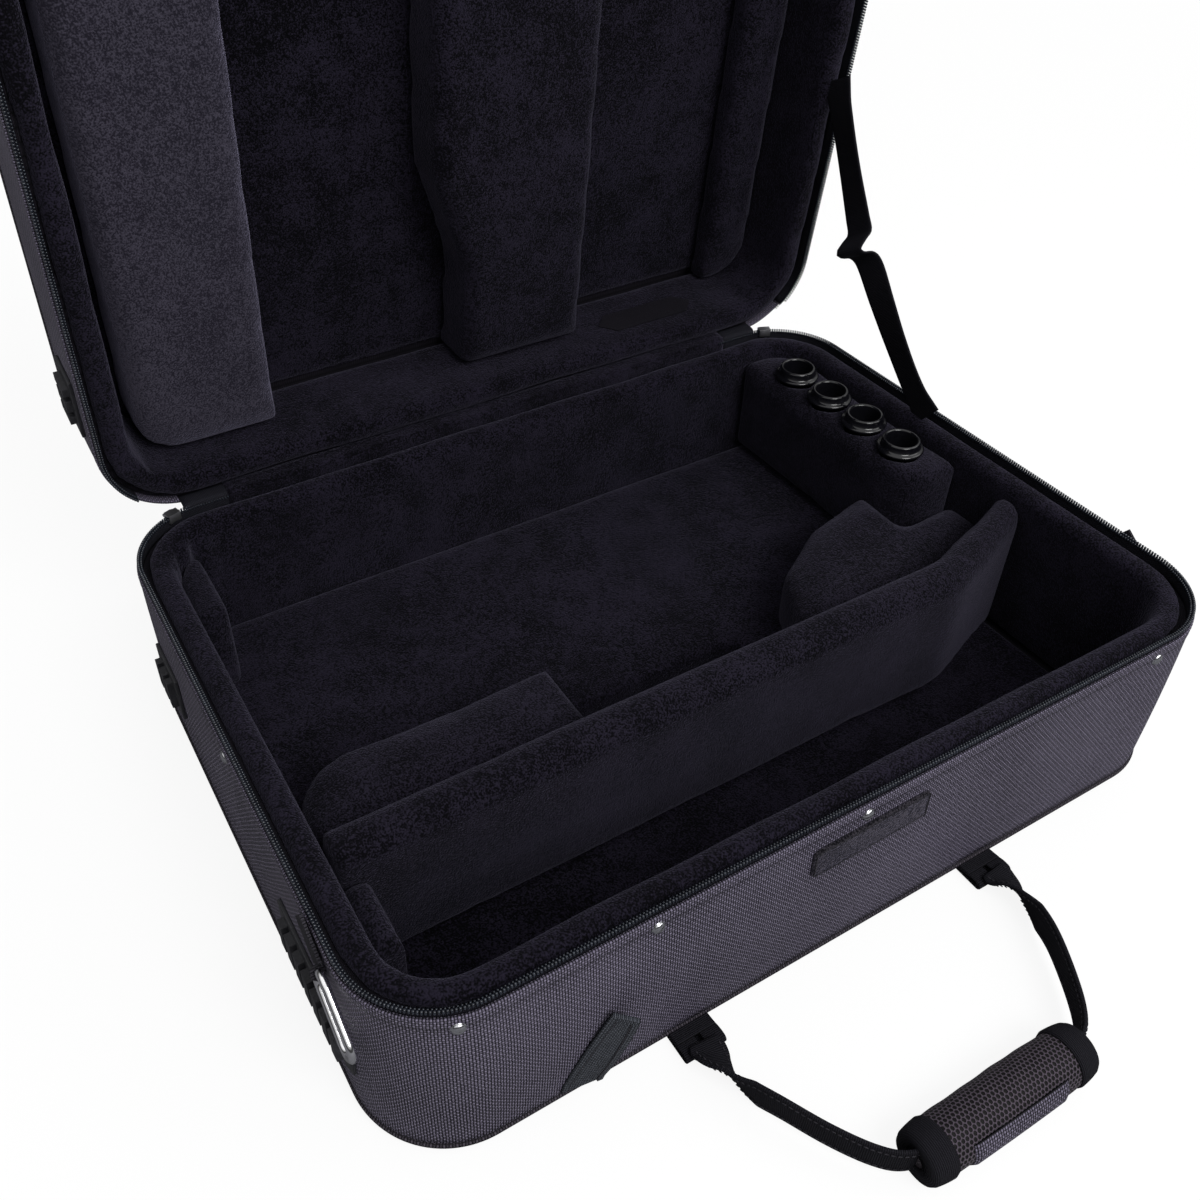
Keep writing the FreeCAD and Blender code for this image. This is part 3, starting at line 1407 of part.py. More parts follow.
base_side_cover()
base_bottom_panel()
base_piping()
base_frame()
base_lining()
floor_lining()
horn_floor()
divider()
body_pad()
bow_pad()
bell_pad()
end_pad()
mouthpiece_block()
mouthpiece_sleeves()
zip_band("base_zip_tape", BASE_TAPE_LOW, BASE_TAPE_HIGH, base_back_cut())
zip_coil("base_zip_coil", COIL_Z, base_back_cut())
base_rivets()
skid_pair("base_front_skids", FRONT_SKID_LOW, FRONT_SKID_LOW + S.front_skid_length,
          S.skid_centre_height)
skid_pair("base_rear_skids", REAR_SKID_HIGH - S.rear_skid_length, REAR_SKID_HIGH,
          S.skid_centre_height)
loop_patch()
web_tab()
ring_tabs()
handle_anchors()
hinge_gusset()
lid_stay()
lid_side_cover()
lid_top_panel()
lid_piping()
lid_frame()
lid_lining()
lid_ceiling_pad()
lid_left_block()
lid_middle_block()
lid_right_block()
lid_wall_patch()
zip_band("lid_zip_tape", LID_TAPE_LOW, LID_TAPE_HIGH, lid_back_cut(), LID_PLACE)
zip_coil("lid_zip_coil", LID_COIL_Z, lid_back_cut(), LID_PLACE)
LID_SKID_Z = S.closing_height + S.lid_skid_drop
skid_pair("lid_front_skids", FRONT_SKID_LOW, FRONT_SKID_LOW + S.front_skid_length,
          LID_SKID_Z, LID_PLACE)
skid_pair("lid_rear_skids", REAR_SKID_HIGH - S.rear_skid_length, REAR_SKID_HIGH,
          LID_SKID_Z, LID_PLACE)
handle_web()
handle_grip()
handle_bindings()
handle_closure()
rings()
sliders()

doc.recompute()
for thing in doc.Objects:
    if "Invalid" in thing.State or "Error" in thing.State:
        raise RuntimeError(thing.Name + " did not compute")
for piece in NODES:
    if piece.Shape.isNull() or not piece.Shape.isValid():
        raise RuntimeError(piece.Label + " has no sound shape")

os.makedirs("parts", exist_ok=True)
for piece in NODES:
    piece.Shape.exportStep("parts/" + piece.Label + ".step")
print("pieces written", len(NODES))
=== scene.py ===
"""An open soft case: plush pads, woven cover, zipper teeth, webbing and metal fittings."""
import json
import math

import bmesh
import bpy
import numpy as np
from mathutils import Matrix, Vector

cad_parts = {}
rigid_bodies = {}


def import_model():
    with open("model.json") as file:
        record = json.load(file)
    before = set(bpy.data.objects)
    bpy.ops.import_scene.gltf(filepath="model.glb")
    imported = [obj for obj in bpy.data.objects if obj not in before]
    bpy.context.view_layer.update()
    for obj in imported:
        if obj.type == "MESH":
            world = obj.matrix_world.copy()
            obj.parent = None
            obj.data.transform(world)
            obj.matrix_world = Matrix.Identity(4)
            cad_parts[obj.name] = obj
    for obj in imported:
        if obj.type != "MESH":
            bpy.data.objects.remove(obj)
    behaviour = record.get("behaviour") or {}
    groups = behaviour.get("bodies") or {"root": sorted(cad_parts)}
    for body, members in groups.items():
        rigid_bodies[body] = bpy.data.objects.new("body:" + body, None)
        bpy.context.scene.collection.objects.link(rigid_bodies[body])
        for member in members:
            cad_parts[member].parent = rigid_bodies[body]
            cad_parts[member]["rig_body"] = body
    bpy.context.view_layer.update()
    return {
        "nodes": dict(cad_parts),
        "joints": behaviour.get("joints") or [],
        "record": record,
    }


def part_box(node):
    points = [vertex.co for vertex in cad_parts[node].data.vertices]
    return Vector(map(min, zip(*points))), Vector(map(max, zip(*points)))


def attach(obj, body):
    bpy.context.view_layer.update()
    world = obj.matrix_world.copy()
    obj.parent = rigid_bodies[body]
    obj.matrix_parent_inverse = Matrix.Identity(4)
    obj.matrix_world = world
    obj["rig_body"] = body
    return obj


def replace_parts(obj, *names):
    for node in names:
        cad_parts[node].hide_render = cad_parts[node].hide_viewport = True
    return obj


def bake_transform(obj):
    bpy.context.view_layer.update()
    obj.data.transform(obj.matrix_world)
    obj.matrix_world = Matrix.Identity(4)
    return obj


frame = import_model()
MM = 0.001

# Places that come from the frame
cover_low, cover_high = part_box("base_side_cover")
HALF_X = cover_high.x
HALF_Y = cover_high.y
COVER_LOW = cover_low.z
COVER_TOP = cover_high.z
CORNER = 55 * MM
hinge = next(joint for joint in frame["joints"] if joint["name"] == "lid_hinge")
HINGE = np.array(hinge["pos_m"])
OPEN = math.radians(hinge["range_deg"][1])
CLOSED_TOP = 217 * MM
CLOSING = HINGE[2]
COVER = 1.6 * MM
WELD_GAP = 0.02 * MM

# The turn that takes the shut lid to where it stands open
LID_TURN = np.array(Matrix.Rotation(-OPEN, 3, "X"))


# Helpers: outlines, meshes and pieces


def unit(ways):
    """Ways of length one."""
    return ways / np.linalg.norm(ways, axis=-1, keepdims=True)


def lengths_along(line):
    """The length from a line's start to each of its points."""
    return np.append(0, np.cumsum(np.linalg.norm(np.diff(line, axis=0), axis=1)))


def full_turn(count):
    """Even angles once round."""
    return np.arange(count) * 2 * math.pi / count


def at_level(flat, level):
    """Flat points, or flat ways with level zero, with a third number."""
    return np.column_stack([flat, np.full(len(flat), level)])


def outline(inset, spacing, run=None):
    """Points, ways out and lengths round the rounded rectangle, from the back's right end.

    A length falls in a straight or in a quarter circle. The point is the corner's centre, plus
    the way along times the length left over on a straight, plus the way out times the radius;
    on a quarter circle the way out turns by length over radius.
    """
    radius = CORNER - inset
    run_x, run_y = 2 * (HALF_X - CORNER), 2 * (HALF_Y - CORNER)
    quarter = radius * math.pi / 2
    runs = np.array([run_x, quarter, run_y, quarter, run_x, quarter, run_y, quarter])
    ends = np.cumsum(runs)
    start, stop = run or (0, ends[-1])
    count = int(round((stop - start) / spacing))
    length = start + np.arange(count + 1) * (stop - start) / count
    at = length % ends[-1]
    part = np.searchsorted(ends, at, side="right").clip(0, 7)
    left = at - (ends - runs)[part]
    curved = part % 2 == 1
    side = part // 2
    angle = math.pi / 2 * (side + 1) + np.where(curved, left / radius, 0)
    out = np.stack([np.cos(angle), np.sin(angle)], 1)
    along = np.stack([-np.sin(angle), np.cos(angle)], 1)
    centres = np.array([(1, 1), (-1, 1), (-1, -1), (1, -1)]) * (HALF_X - CORNER, HALF_Y - CORNER)
    centre = centres[(side + curved) % 4]
    place = centre + along * np.where(curved, 0, left)[:, None] + out * radius
    keep = len(place) if run else -1
    return place[:keep], out[:keep], length - start


def swing(points):
    """Turns points of the shut lid about the hinge line to where it stands open."""
    return (points - HINGE) @ LID_TURN.T + HINGE


def quads_of(rows, columns, loop_rows, loop_columns):
    """Quads of a grid as index rows: each point with its neighbours along both directions."""
    row = np.arange(rows if loop_rows else rows - 1)[:, None]
    column = np.arange(columns if loop_columns else columns - 1)[None, :]
    row_on = (row + 1) % rows
    column_on = (column + 1) % columns
    corners = [row * columns + column, row_on * columns + column,
               row_on * columns + column_on, row * columns + column_on]
    return np.stack(np.broadcast_arrays(*corners), -1).reshape(-1, 4)


def placed(name, data):
    """A new object in the scene."""
    item = bpy.data.objects.new(name, data)
    bpy.context.scene.collection.objects.link(item)
    return item


def dress(piece, body, finish):
    """Gives a piece its finish and the body that it rides on."""
    piece.data.materials.clear()
    piece.data.materials.append(finish)
    if body:
        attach(piece, body)
    return piece


def smooth(mesh):
    """Shades every face of a mesh smooth."""
    mesh.polygons.foreach_set("use_smooth", [True] * len(mesh.polygons))


def volume_of(points, faces):
    """Signed volume within a skin: a sixth of each triangle's triple product, summed."""
    fan = [(faces[:, 0], faces[:, k], faces[:, k + 1]) for k in range(1, faces.shape[1] - 1)]
    return sum(np.einsum("ij,ij->i", points[a], np.cross(points[b], points[c])).sum()
               for a, b, c in fan)


def skin(name, grid, body, finish, loop=(True, True), lengths=None, ends=False,
         plan=None):
    """A piece from a grid of points, with its own UV in metres and its faces outwards.

    The UV is the length along and across the grid, or the plan's two numbers for each point.
    The loop says which ways the grid closes on itself; ends closes its first and last row.
    """
    rows, columns = grid.shape[:2]
    points = grid.reshape(-1, 3)
    faces = quads_of(rows, columns, *loop)
    if lengths is None:
        steps_u = np.linalg.norm(np.diff(grid, axis=0, append=grid[:1]), axis=2).mean(1)
        steps_v = np.linalg.norm(np.diff(grid, axis=1, append=grid[:, :1]), axis=2).mean(0)
        lengths = (np.append(0, np.cumsum(steps_u)), np.append(0, np.cumsum(steps_v)))
    last_row = rows if loop[0] else rows - 1
    last_column = columns if loop[1] else columns - 1
    low_u = np.repeat(np.arange(last_row), last_column)
    low_v = np.tile(np.arange(last_column), last_row)
    uv = np.stack([np.stack([lengths[0][low_u + a], lengths[1][low_v + b]], -1)
                   for a, b in ((0, 0), (1, 0), (1, 1), (0, 1))], 1)
    if plan is not None:
        uv = plan.reshape(-1, 2)[faces]
    if volume_of(points, faces) < 0:
        faces = faces[:, ::-1]
        uv = uv[:, ::-1]
    polygons = faces.tolist()
    uv = uv.reshape(-1, 2)
    if ends:
        first = list(range(columns))
        last = [(rows - 1) * columns + k for k in range(columns)]
        turned = faces[0][1] != columns
        polygons += [first[::-1] if turned else first, last if turned else last[::-1]]
        flat = np.zeros((rows * columns, 2)) if plan is None else plan.reshape(-1, 2)
        uv = np.concatenate([uv] + [flat[face] for face in polygons[-2:]])
    mesh = bpy.data.meshes.new(name)
    mesh.from_pydata(points.tolist(), [], polygons)
    layer = mesh.uv_layers.new(name="UVMap")
    layer.data.foreach_set("uv", uv.astype(np.float32).ravel())
    mesh.update()
    smooth(mesh)
    return dress(placed(name, mesh), body, finish)


def scattered(name, item, places, body, finish):
    """One mesh of a small shape set at many places; each place is three ways and a point.

    Ways that mirror the shape would turn its faces inwards, so the faces are turned back.
    """
    shape, faces = item
    ways, points = places
    if np.linalg.det(ways[0]) < 0:
        faces = faces[:, ::-1]
    count = len(points)
    whole = np.einsum("vk,nkd->nvd", shape, ways) + points[:, None, :]
    index = faces[None, :, :] + (np.arange(count) * len(shape))[:, None, None]
    mesh = bpy.data.meshes.new(name)
    mesh.from_pydata(whole.reshape(-1, 3).tolist(), [], index.reshape(-1, faces.shape[1]).tolist())
    mesh.update()
    smooth(mesh)
    return dress(placed(name, mesh), body, finish)


def unit_box(bevel):
    """A box of half size 1 whose ends are drawn in by the bevel: four rings of four points."""
    ring = np.array([(1, 1), (-1, 1), (-1, -1), (1, -1)], float)
    levels = ((-1, 1 - bevel), (-1 + bevel, 1), (1 - bevel, 1), (1, 1 - bevel))
    shape = np.concatenate([np.column_stack([ring * width, np.full(4, level)])
                            for level, width in levels])
    sides = quads_of(4, 4, False, True)[:, ::-1]
    return shape, np.concatenate([sides, [[0, 1, 2, 3][::-1]], [[12, 13, 14, 15]]])


def band(name, section, body, finish, spacing=4 * MM, sag=None, run=None):
    """A closed section of (inset, height) points carried round the case.

    Each point moves out along the way out by the reference inset less its own, and by the sag.
    """
    section = np.asarray(section, float)
    middle = section[:, 0].mean()
    place, out, lengths = outline(middle, spacing, run)
    heights = np.broadcast_to(section[:, 1], (len(place), len(section)))
    reach = np.broadcast_to(middle - section[:, 0], heights.shape)
    if sag is not None:
        reach = reach + sag(place, heights)
    flat = place[:, None, :] + out[:, None, :] * reach[..., None]
    grid = np.concatenate([flat, heights[..., None]], 2)
    across = lengths_along(np.vstack([section, section[:1]]))
    if body == "lid":
        grid = swing(grid)
    return skin(name, grid, body, finish, loop=(run is None, True),
                lengths=(lengths, across), ends=run is not None)


def resampled(points, spacing):
    """A smooth line through points: a cubic between neighbours, then even steps along it."""
    points = np.asarray(points, float)
    padded = np.vstack([2 * points[0] - points[1], points, 2 * points[-1] - points[-2]])
    share = np.linspace(0, 1, 24, endpoint=False)[:, None]
    runs = []
    for before, start, stop, after in zip(padded, padded[1:], padded[2:], padded[3:]):
        runs.append(0.5 * (2 * start + (stop - before) * share
                           + (2 * before - 5 * start + 4 * stop - after) * share ** 2
                           + (3 * start - before - 3 * stop + after) * share ** 3))
    line = np.vstack(runs + [points[-1:]])
    length = lengths_along(line)
    even = np.linspace(0, length[-1], max(3, int(round(length[-1] / spacing)) + 1))
    return np.stack([np.interp(even, length, line[:, k]) for k in range(3)], 1), even


def ways_of(line, across):
    """A strap's ways along, across and up at each point, at right angles to each other."""
    along = unit(np.gradient(line, axis=0))
    across = np.broadcast_to(np.asarray(across, float), line.shape)
    across = unit(across - along * np.einsum("ij,ij->i", across, along)[:, None])
    return along, across, np.cross(along, across)


def ribbon(name, line, wide, thick, body, finish, across, crown=0.25):
    """A strap: a rounded slab of a section carried along a line.

    Across is the strap's width direction, one for each point or one for all. The section is a
    rectangle whose narrow edges bulge by the crown times the thickness.
    """
    across, up = ways_of(line, across)[1:]
    wide = np.broadcast_to(np.asarray(wide, float), (len(line),))
    half = thick / 2
    share = np.linspace(-1, 1, 9)
    edge = half * crown
    rim = [(-1, -half + edge), (-1, half - edge)]
    lower = [(s, -half) for s in share * 0.94]
    upper = [(s, half) for s in share[::-1] * 0.94]
    section = np.array(lower + [(1, rim[0][1]), (1, rim[1][1])] + upper
                       + [(-1, rim[1][1]), (-1, rim[0][1])])
    grid = (line[:, None, :] + across[:, None, :] * (section[None, :, :1] * wide[:, None, None] / 2)
            + up[:, None, :] * section[None, :, 1:])
    length = lengths_along(line)
    steps = np.abs(np.diff(section[:, 0], append=section[:1, 0])) * wide.mean() / 2
    lengths = (np.append(length, length[-1]), np.append(0, np.cumsum(steps)))
    return skin(name, grid, body, finish, loop=(False, True), lengths=lengths, ends=True)


def turned(name, profile, at, axis, body, finish, slot, sides=48):
    """A profile of (radius, height) points spun once round an axis through each given point."""
    axis = np.asarray(axis, float)
    side = unit(np.cross(axis, (0, 0, 1) if abs(axis[2]) < 0.5 else (1, 0, 0)))
    other = np.cross(axis, side)
    angle = full_turn(sides)
    ways = np.cos(angle)[:, None] * side + np.sin(angle)[:, None] * other
    profile = np.asarray(profile, float)
    grid = (np.asarray(at, float) + ways[:, None, :] * profile[None, :, :1]
            + axis * profile[None, :, 1:])
    return skin(name, grid, body, finish)


def joined(name, pieces):
    """Makes one object of several."""
    for other in bpy.context.selected_objects:
        other.select_set(False)
    for piece in pieces:
        piece.select_set(True)
    bpy.context.view_layer.objects.active = pieces[0]
    bpy.ops.object.join()
    pieces[0].name = name
    return pieces[0]


def merged_copy(node, name):
    """A copy of a CAD node's mesh whose loose triangles are joined at their corners."""
    mesh = frame["nodes"][node].data.copy()
    mesh.name = name
    piece = placed(name, mesh)
    weld = piece.modifiers.new("weld", "WELD")
    weld.merge_threshold = WELD_GAP
    settle(piece)
    return piece


def settle(piece):
    """Applies a piece's modifiers to its mesh."""
    bpy.context.view_layer.update()
    seen = piece.evaluated_get(bpy.context.evaluated_depsgraph_get())
    mesh = bpy.data.meshes.new_from_object(seen)
    old = piece.data
    piece.modifiers.clear()
    piece.data = mesh
    bpy.data.meshes.remove(old)


def read(items, what):
    """Three numbers of each item, such as a mesh's points, as rows."""
    values = np.empty(len(items) * 3, np.float32)
    items.foreach_get(what, values)
    return values.reshape(-1, 3).astype(float)


def points_of(mesh):
    """A mesh's vertices as an array of places."""
    return read(mesh.vertices, "co")


def normals_of(mesh):
    """A mesh's vertex normals as an array."""
    return read(mesh.vertex_normals, "vector")


def put_points(mesh, points):
    """Moves a mesh's vertices to the places given."""
    mesh.vertices.foreach_set("co", points.astype(np.float32).ravel())
    mesh.update()


def eased(piece, node, bevel, finish):
    """A CAD node's copy whose edges sharper than 28 degrees are softened."""
    copy = merged_copy(node, piece)
    rounding = copy.modifiers.new("softened edges", "BEVEL")
    rounding.width = bevel
    rounding.segments = 2
    rounding.limit_method = "ANGLE"
    rounding.angle_limit = math.radians(28)
    settle(copy)
    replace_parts(dress(copy, frame["nodes"][node]["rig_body"], finish), node)
    return copy


# Finishes


class Nodes:
    """Short ways to add and link shader nodes in one tree."""

    def __init__(self, tree):
        self.tree = tree

    def link(self, source, target):
        self.tree.links.new(source, target)

    def put(self, socket, value):
        if isinstance(value, bpy.types.NodeSocket):
            self.link(value, socket)
        else:
            socket.default_value = value

    def new(self, kind, **values):
        """A node whose named sockets take the values, with _ for the space in a name."""
        node = self.tree.nodes.new("ShaderNode" + kind)
        for label, value in values.items():
            self.put(node.inputs[label.replace("_", " ")], value)
        return node

    def math(self, operation, *values):
        node = self.new("Math")
        node.operation = operation
        for socket, value in zip(node.inputs, values):
            self.put(socket, value)
        return node.outputs[0]

    def add(self, one, other):
        return self.math("ADD", one, other)

    def times(self, one, other):
        return self.math("MULTIPLY", one, other)

    def over(self, one, other):
        return self.math("DIVIDE", one, other)

    def arches(self, along):
        """Half sines in a row, one to each whole number."""
        return self.math("ABSOLUTE", self.math("SINE", self.times(along, math.pi)))

    def noise(self, where, scale, detail=2.0, rough=0.5):
        return self.new("TexNoise", Vector=where, Scale=scale, Detail=detail,
                        Roughness=rough).outputs["Fac"]

    def split(self, where):
        return self.new("SeparateXYZ", Vector=where).outputs

    def ramp(self, value, low, high, dark, light):
        """A colour between two, as the value goes from low to high."""
        share = self.new("MapRange", Value=value, From_Min=low, From_Max=high)
        mix = self.new("Mix")
        mix.data_type = "RGBA"
        for label, colour in (("Factor", share.outputs[0]), ("A", dark), ("B", light)):
            self.put(mix.inputs[label], colour)
        return mix.outputs["Result"]

    def coordinates(self, kind):
        return self.new("TexCoord").outputs[kind]


def new_pattern(name, *numbers):
    """A node group that takes a place and numbers, and puts out a height and a tone."""
    group = bpy.data.node_groups.new(name, "ShaderNodeTree")
    group.interface.new_socket("Where", in_out="INPUT", socket_type="NodeSocketVector")
    for label in numbers:
        group.interface.new_socket(label, in_out="INPUT", socket_type="NodeSocketFloat")
    for label in ("Height", "Tone"):
        group.interface.new_socket(label, in_out="OUTPUT", socket_type="NodeSocketFloat")
    given, result = group.nodes.new("NodeGroupInput"), group.nodes.new("NodeGroupOutput")
    return Nodes(group), given.outputs, result.inputs


def threads_group():
    """Crossed threads: half sines across both ways, and every other cell lies lower."""
    n, given, result = new_pattern("crossed_threads", "Pitch", "Stretch")
    x, y, _ = n.split(given["Where"])
    wobble = n.noise(given["Where"], 260.0, 1.0)
    u = n.add(n.over(x, given["Pitch"]), n.times(wobble, 0.35))
    v = n.over(n.over(y, given["Stretch"]), given["Pitch"])
    cell = n.math("ABSOLUTE", n.add(n.math("FLOOR", u), n.math("FLOOR", v)))
    upper = n.math("MODULO", cell, 2.0)
    thread = n.times(n.math("POWER", n.arches(u), 0.9), n.math("POWER", n.arches(v), 0.5))
    high = n.times(thread, n.add(0.55, n.times(upper, 0.45)))
    n.link(high, result["Height"])
    n.link(n.times(high, n.add(0.75, n.times(wobble, 0.5))), result["Tone"])
    return n.tree


def ribs_group():
    """Ribbed web: even ribs across the strap, each twilled by slanted threads."""
    n, given, result = new_pattern("web_ribs", "Pitch")
    x, y, _ = n.split(given["Where"])
    u, v = n.over(x, given["Pitch"]), n.over(y, given["Pitch"])
    twill = n.arches(n.add(n.times(u, 0.5), n.times(v, 1.6)))
    high = n.times(n.math("POWER", n.arches(u), 0.5), n.add(0.6, n.times(twill, 0.4)))
    n.link(high, result["Height"])
    n.link(high, result["Tone"])
    return n.tree


def pile_group():
    """Short pile: a fine grain of hairs, and broad patches where the pile lies another way."""
    n, given, result = new_pattern("short_pile", "Crush")
    grain = n.noise(given["Where"], 950.0, 0.0)
    tuft = n.noise(given["Where"], 330.0, 2.0, 0.6)
    crushed = n.noise(given["Where"], 46.0, 3.0, 0.55)
    high = n.add(n.times(grain, 0.6), n.times(tuft, 0.4))
    patch = n.times(n.math("SUBTRACT", crushed, 0.5), given["Crush"])
    n.link(n.add(high, n.times(patch, 2.0)), result["Height"])
    n.link(n.add(high, patch), result["Tone"])
    return n.tree


def honeycomb_group():
    """Open mesh: six-sided holes, as the distance to the nearest of two offset grids of points."""
    n, given, result = new_pattern("honeycomb", "Pitch")
    x, y, _ = n.split(given["Where"])
    u = n.over(x, given["Pitch"])
    v = n.over(n.over(y, given["Pitch"]), math.sqrt(3))
    far = []
    for shift in (0.0, 0.5):
        du = n.math("SUBTRACT", n.math("FRACT", n.add(u, shift)), 0.5)
        dv = n.times(n.math("SUBTRACT", n.math("FRACT", n.add(v, shift)), 0.5), math.sqrt(3))
        far.append(n.math("SQRT", n.add(n.times(du, du), n.times(dv, dv))))
    edge = n.new("MapRange", Value=n.math("MINIMUM", *far), From_Min=0.3, From_Max=0.46)
    n.link(edge.outputs[0], result["Height"])
    n.link(edge.outputs[0], result["Tone"])
    return n.tree


THREADS = threads_group()
RIBS = ribs_group()
PILE = pile_group()
HONEYCOMB = honeycomb_group()


def new_finish(name, rough, metal=0.0, sheen=0.0, tint=(1, 1, 1), specular=0.12):
    """A material with its Principled shader's even values set on the sockets."""
    finish = bpy.data.materials.new(name)
    finish.use_nodes = True
    shader = finish.node_tree.nodes["Principled BSDF"]
    for label, value in (("Roughness", rough), ("Metallic", metal),
                         ("Specular IOR Level", specular), ("Sheen Weight", sheen),
                         ("Sheen Roughness", 0.45), ("Sheen Tint", (*tint, 1))):
        shader.inputs[label].default_value = value
    return finish, Nodes(finish.node_tree), shader


def coloured(n, shader, tone, low, high, dark, light):
    """Feeds a colour between dark and light into the shader."""
    n.link(n.ramp(tone, low, high, (*dark, 1), (*light, 1)), shader.inputs["Base Color"])


def bumped(n, shader, height, depth):
    """Feeds a height into the shader's normal."""
    bump = n.new("Bump", Distance=depth, Strength=1.0, Height=height)
    n.link(bump.outputs[0], shader.inputs["Normal"])


def patterned(name, tree, values, kind, dark, light, low, high, depth, rough, on_ends=False,
              **extra):
    """A finish whose colour and height come from one of the pattern groups.

    On the case's ends the place is turned so that the pattern lies along the end wall.
    """
    finish, n, shader = new_finish(name, rough, **extra)
    where = n.coordinates(kind)
    if on_ends:
        where = n.new("VectorRotate", Vector=where, Axis=(1, 1, 1),
                      Angle=-2 * math.pi / 3).outputs[0]
    pattern = n.new("Group")
    pattern.node_tree = tree
    for label, value in {"Where": where, **values}.items():
        n.put(pattern.inputs[label], value)
    dust = n.math("SUBTRACT", n.noise(n.coordinates("Object"), 14.0, 4.0), 0.5)
    tone = n.add(pattern.outputs["Tone"], n.times(dust, 0.3))
    coloured(n, shader, tone, low, high, dark, light)
    bumped(n, shader, pattern.outputs["Height"], depth)
    return finish


def plush(name, dark, light, crush, sheen):
    """The short pile in two tones, with its crush marks, its nap and its sheen."""
    return patterned(name, PILE, {"Crush": crush}, "Object", dark, light, 0.41, 0.62,
                     1.1 * MM, 0.95, sheen=sheen, tint=(0.55, 0.52, 0.75), specular=0.08)


def grained(name, dark, light, scale, depth, rough, **extra):
    """A moulded or cast finish: fine grain in colour, roughness and height."""
    finish, n, shader = new_finish(name, rough, **extra)
    where = n.coordinates("Object")
    grain = n.noise(where, scale, 3.0, 0.6)
    worn = n.noise(where, 60.0, 4.0, 0.6)
    coloured(n, shader, n.add(n.times(grain, 0.6), n.times(worn, 0.4)), 0.35, 0.65, dark, light)
    n.link(n.add(rough - 0.06, n.times(worn, 0.12)), shader.inputs["Roughness"])
    bumped(n, shader, grain, depth)
    return finish


NYLON = patterned("ballistic_nylon", THREADS, {"Pitch": 1.55 * MM, "Stretch": 1.15}, "UV",
                  (0.0018, 0.0015, 0.0034), (0.168, 0.15, 0.212), 0.12, 0.85, 0.7 * MM, 0.5,
                  specular=0.2)
CORD = patterned("braided_cord", THREADS, {"Pitch": 1.6 * MM, "Stretch": 1.4}, "UV",
                 (0.004, 0.0035, 0.005), (0.06, 0.052, 0.066), 0.1, 0.9, 0.5 * MM, 0.6)
TAPE = patterned("zip_tape", THREADS, {"Pitch": 0.9 * MM, "Stretch": 1.0}, "UV",
                 (0.003, 0.003, 0.005), (0.02, 0.02, 0.028), 0.2, 0.9, 0.25 * MM, 0.75)
LINING = plush("plush_lining", (0.0004, 0.0003, 0.001), (0.0105, 0.0088, 0.0165), 0.36, 0.1)
PAD = plush("plush_pad", (0.0006, 0.0005, 0.0013), (0.0115, 0.0098, 0.0175), 0.24, 0.1)
SMOOTH_PAD = plush("brushed_pad", (0.009, 0.008, 0.013), (0.034, 0.031, 0.044), 0.1, 0.3)
CLOTH = patterned("lining_cloth", THREADS, {"Pitch": 0.8 * MM, "Stretch": 1.0}, "Object",
                  (0.0015, 0.0015, 0.0025), (0.014, 0.012, 0.018), 0.1, 0.85, 0.2 * MM, 0.8)
WEB = patterned("ribbed_web", RIBS, {"Pitch": 1.1 * MM}, "UV", (0.0015, 0.0015, 0.002),
                (0.013, 0.0125, 0.017), 0.25, 0.95, 0.5 * MM, 0.7, specular=0.08)
END_WEB = patterned("end_web", RIBS, {"Pitch": 1.3 * MM}, "Object", (0.0015, 0.0015, 0.002),
                    (0.03, 0.028, 0.036), 0.25, 0.95, 0.5 * MM, 0.6, on_ends=True)
TAB_WEB = patterned("tab_web", THREADS, {"Pitch": 1.0 * MM, "Stretch": 1.4}, "UV",
                    (0.002, 0.0025, 0.0035), (0.072, 0.078, 0.094), 0.1, 0.85, 0.4 * MM, 0.6,
                    specular=0.1)
MESH = patterned("honeycomb_mesh", HONEYCOMB, {"Pitch": 2.6 * MM}, "UV",
                 (0.002, 0.0015, 0.002), (0.06, 0.047, 0.064), 0.1, 0.9, 0.9 * MM, 0.6,
                 sheen=0.05)
FUZZ = plush("loop_pile", (0.003, 0.003, 0.004), (0.03, 0.027, 0.033), 0.2, 0.15)
RUBBER = grained("moulded_rubber", (0.008, 0.008, 0.01), (0.03, 0.03, 0.035), 900, 0.08 * MM,
                 0.5, specular=0.3)
SLEEVE = grained("sleeve_plastic", (0.002, 0.002, 0.003), (0.006, 0.006, 0.008), 500, 0.01 * MM,
                 0.16, specular=0.5)
TEETH = grained("zip_teeth", (0.003, 0.004, 0.007), (0.022, 0.027, 0.038), 700, 0.05 * MM,
                0.24, specular=0.5)
CHROME = grained("ring_chrome", (0.75, 0.75, 0.77), (0.9, 0.9, 0.92), 300, 0.004 * MM, 0.1,
                 metal=1.0)
NICKEL = grained("slider_metal", (0.55, 0.55, 0.58), (0.78, 0.78, 0.8), 500, 0.02 * MM, 0.36,
                 metal=1.0)
STEEL = grained("rivet_steel", (0.45, 0.46, 0.48), (0.7, 0.71, 0.73), 600, 0.01 * MM, 0.16,
                metal=1.0)
THREAD = grained("sewing_thread", (0.006, 0.006, 0.008), (0.035, 0.033, 0.04), 1500, 0.05 * MM,
                 0.7)


# Cover, piping and zipper


def cover_section(low, high, hem):
    """Closed section of a side wall of cloth: outer face up, a turned hem, inner face down."""
    levels = np.linspace(low, high - hem, 22)
    outer = [(0.0, z) for z in levels]
    step = 0.35 * MM
    turned_in = [(-step, high - hem + step), (-step, high - step), (step, high),
                 (COVER - step, high)]
    inner = [(COVER, z) for z in np.linspace(high - step, low, 12)]
    return outer + turned_in + inner


SKID_RUNS = [(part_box(node)[0].y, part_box(node)[1].y)
             for node in ("base_front_skids", "base_rear_skids")]
SKID_LOW, SKID_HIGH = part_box("base_front_skids")[0].z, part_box("base_front_skids")[1].z


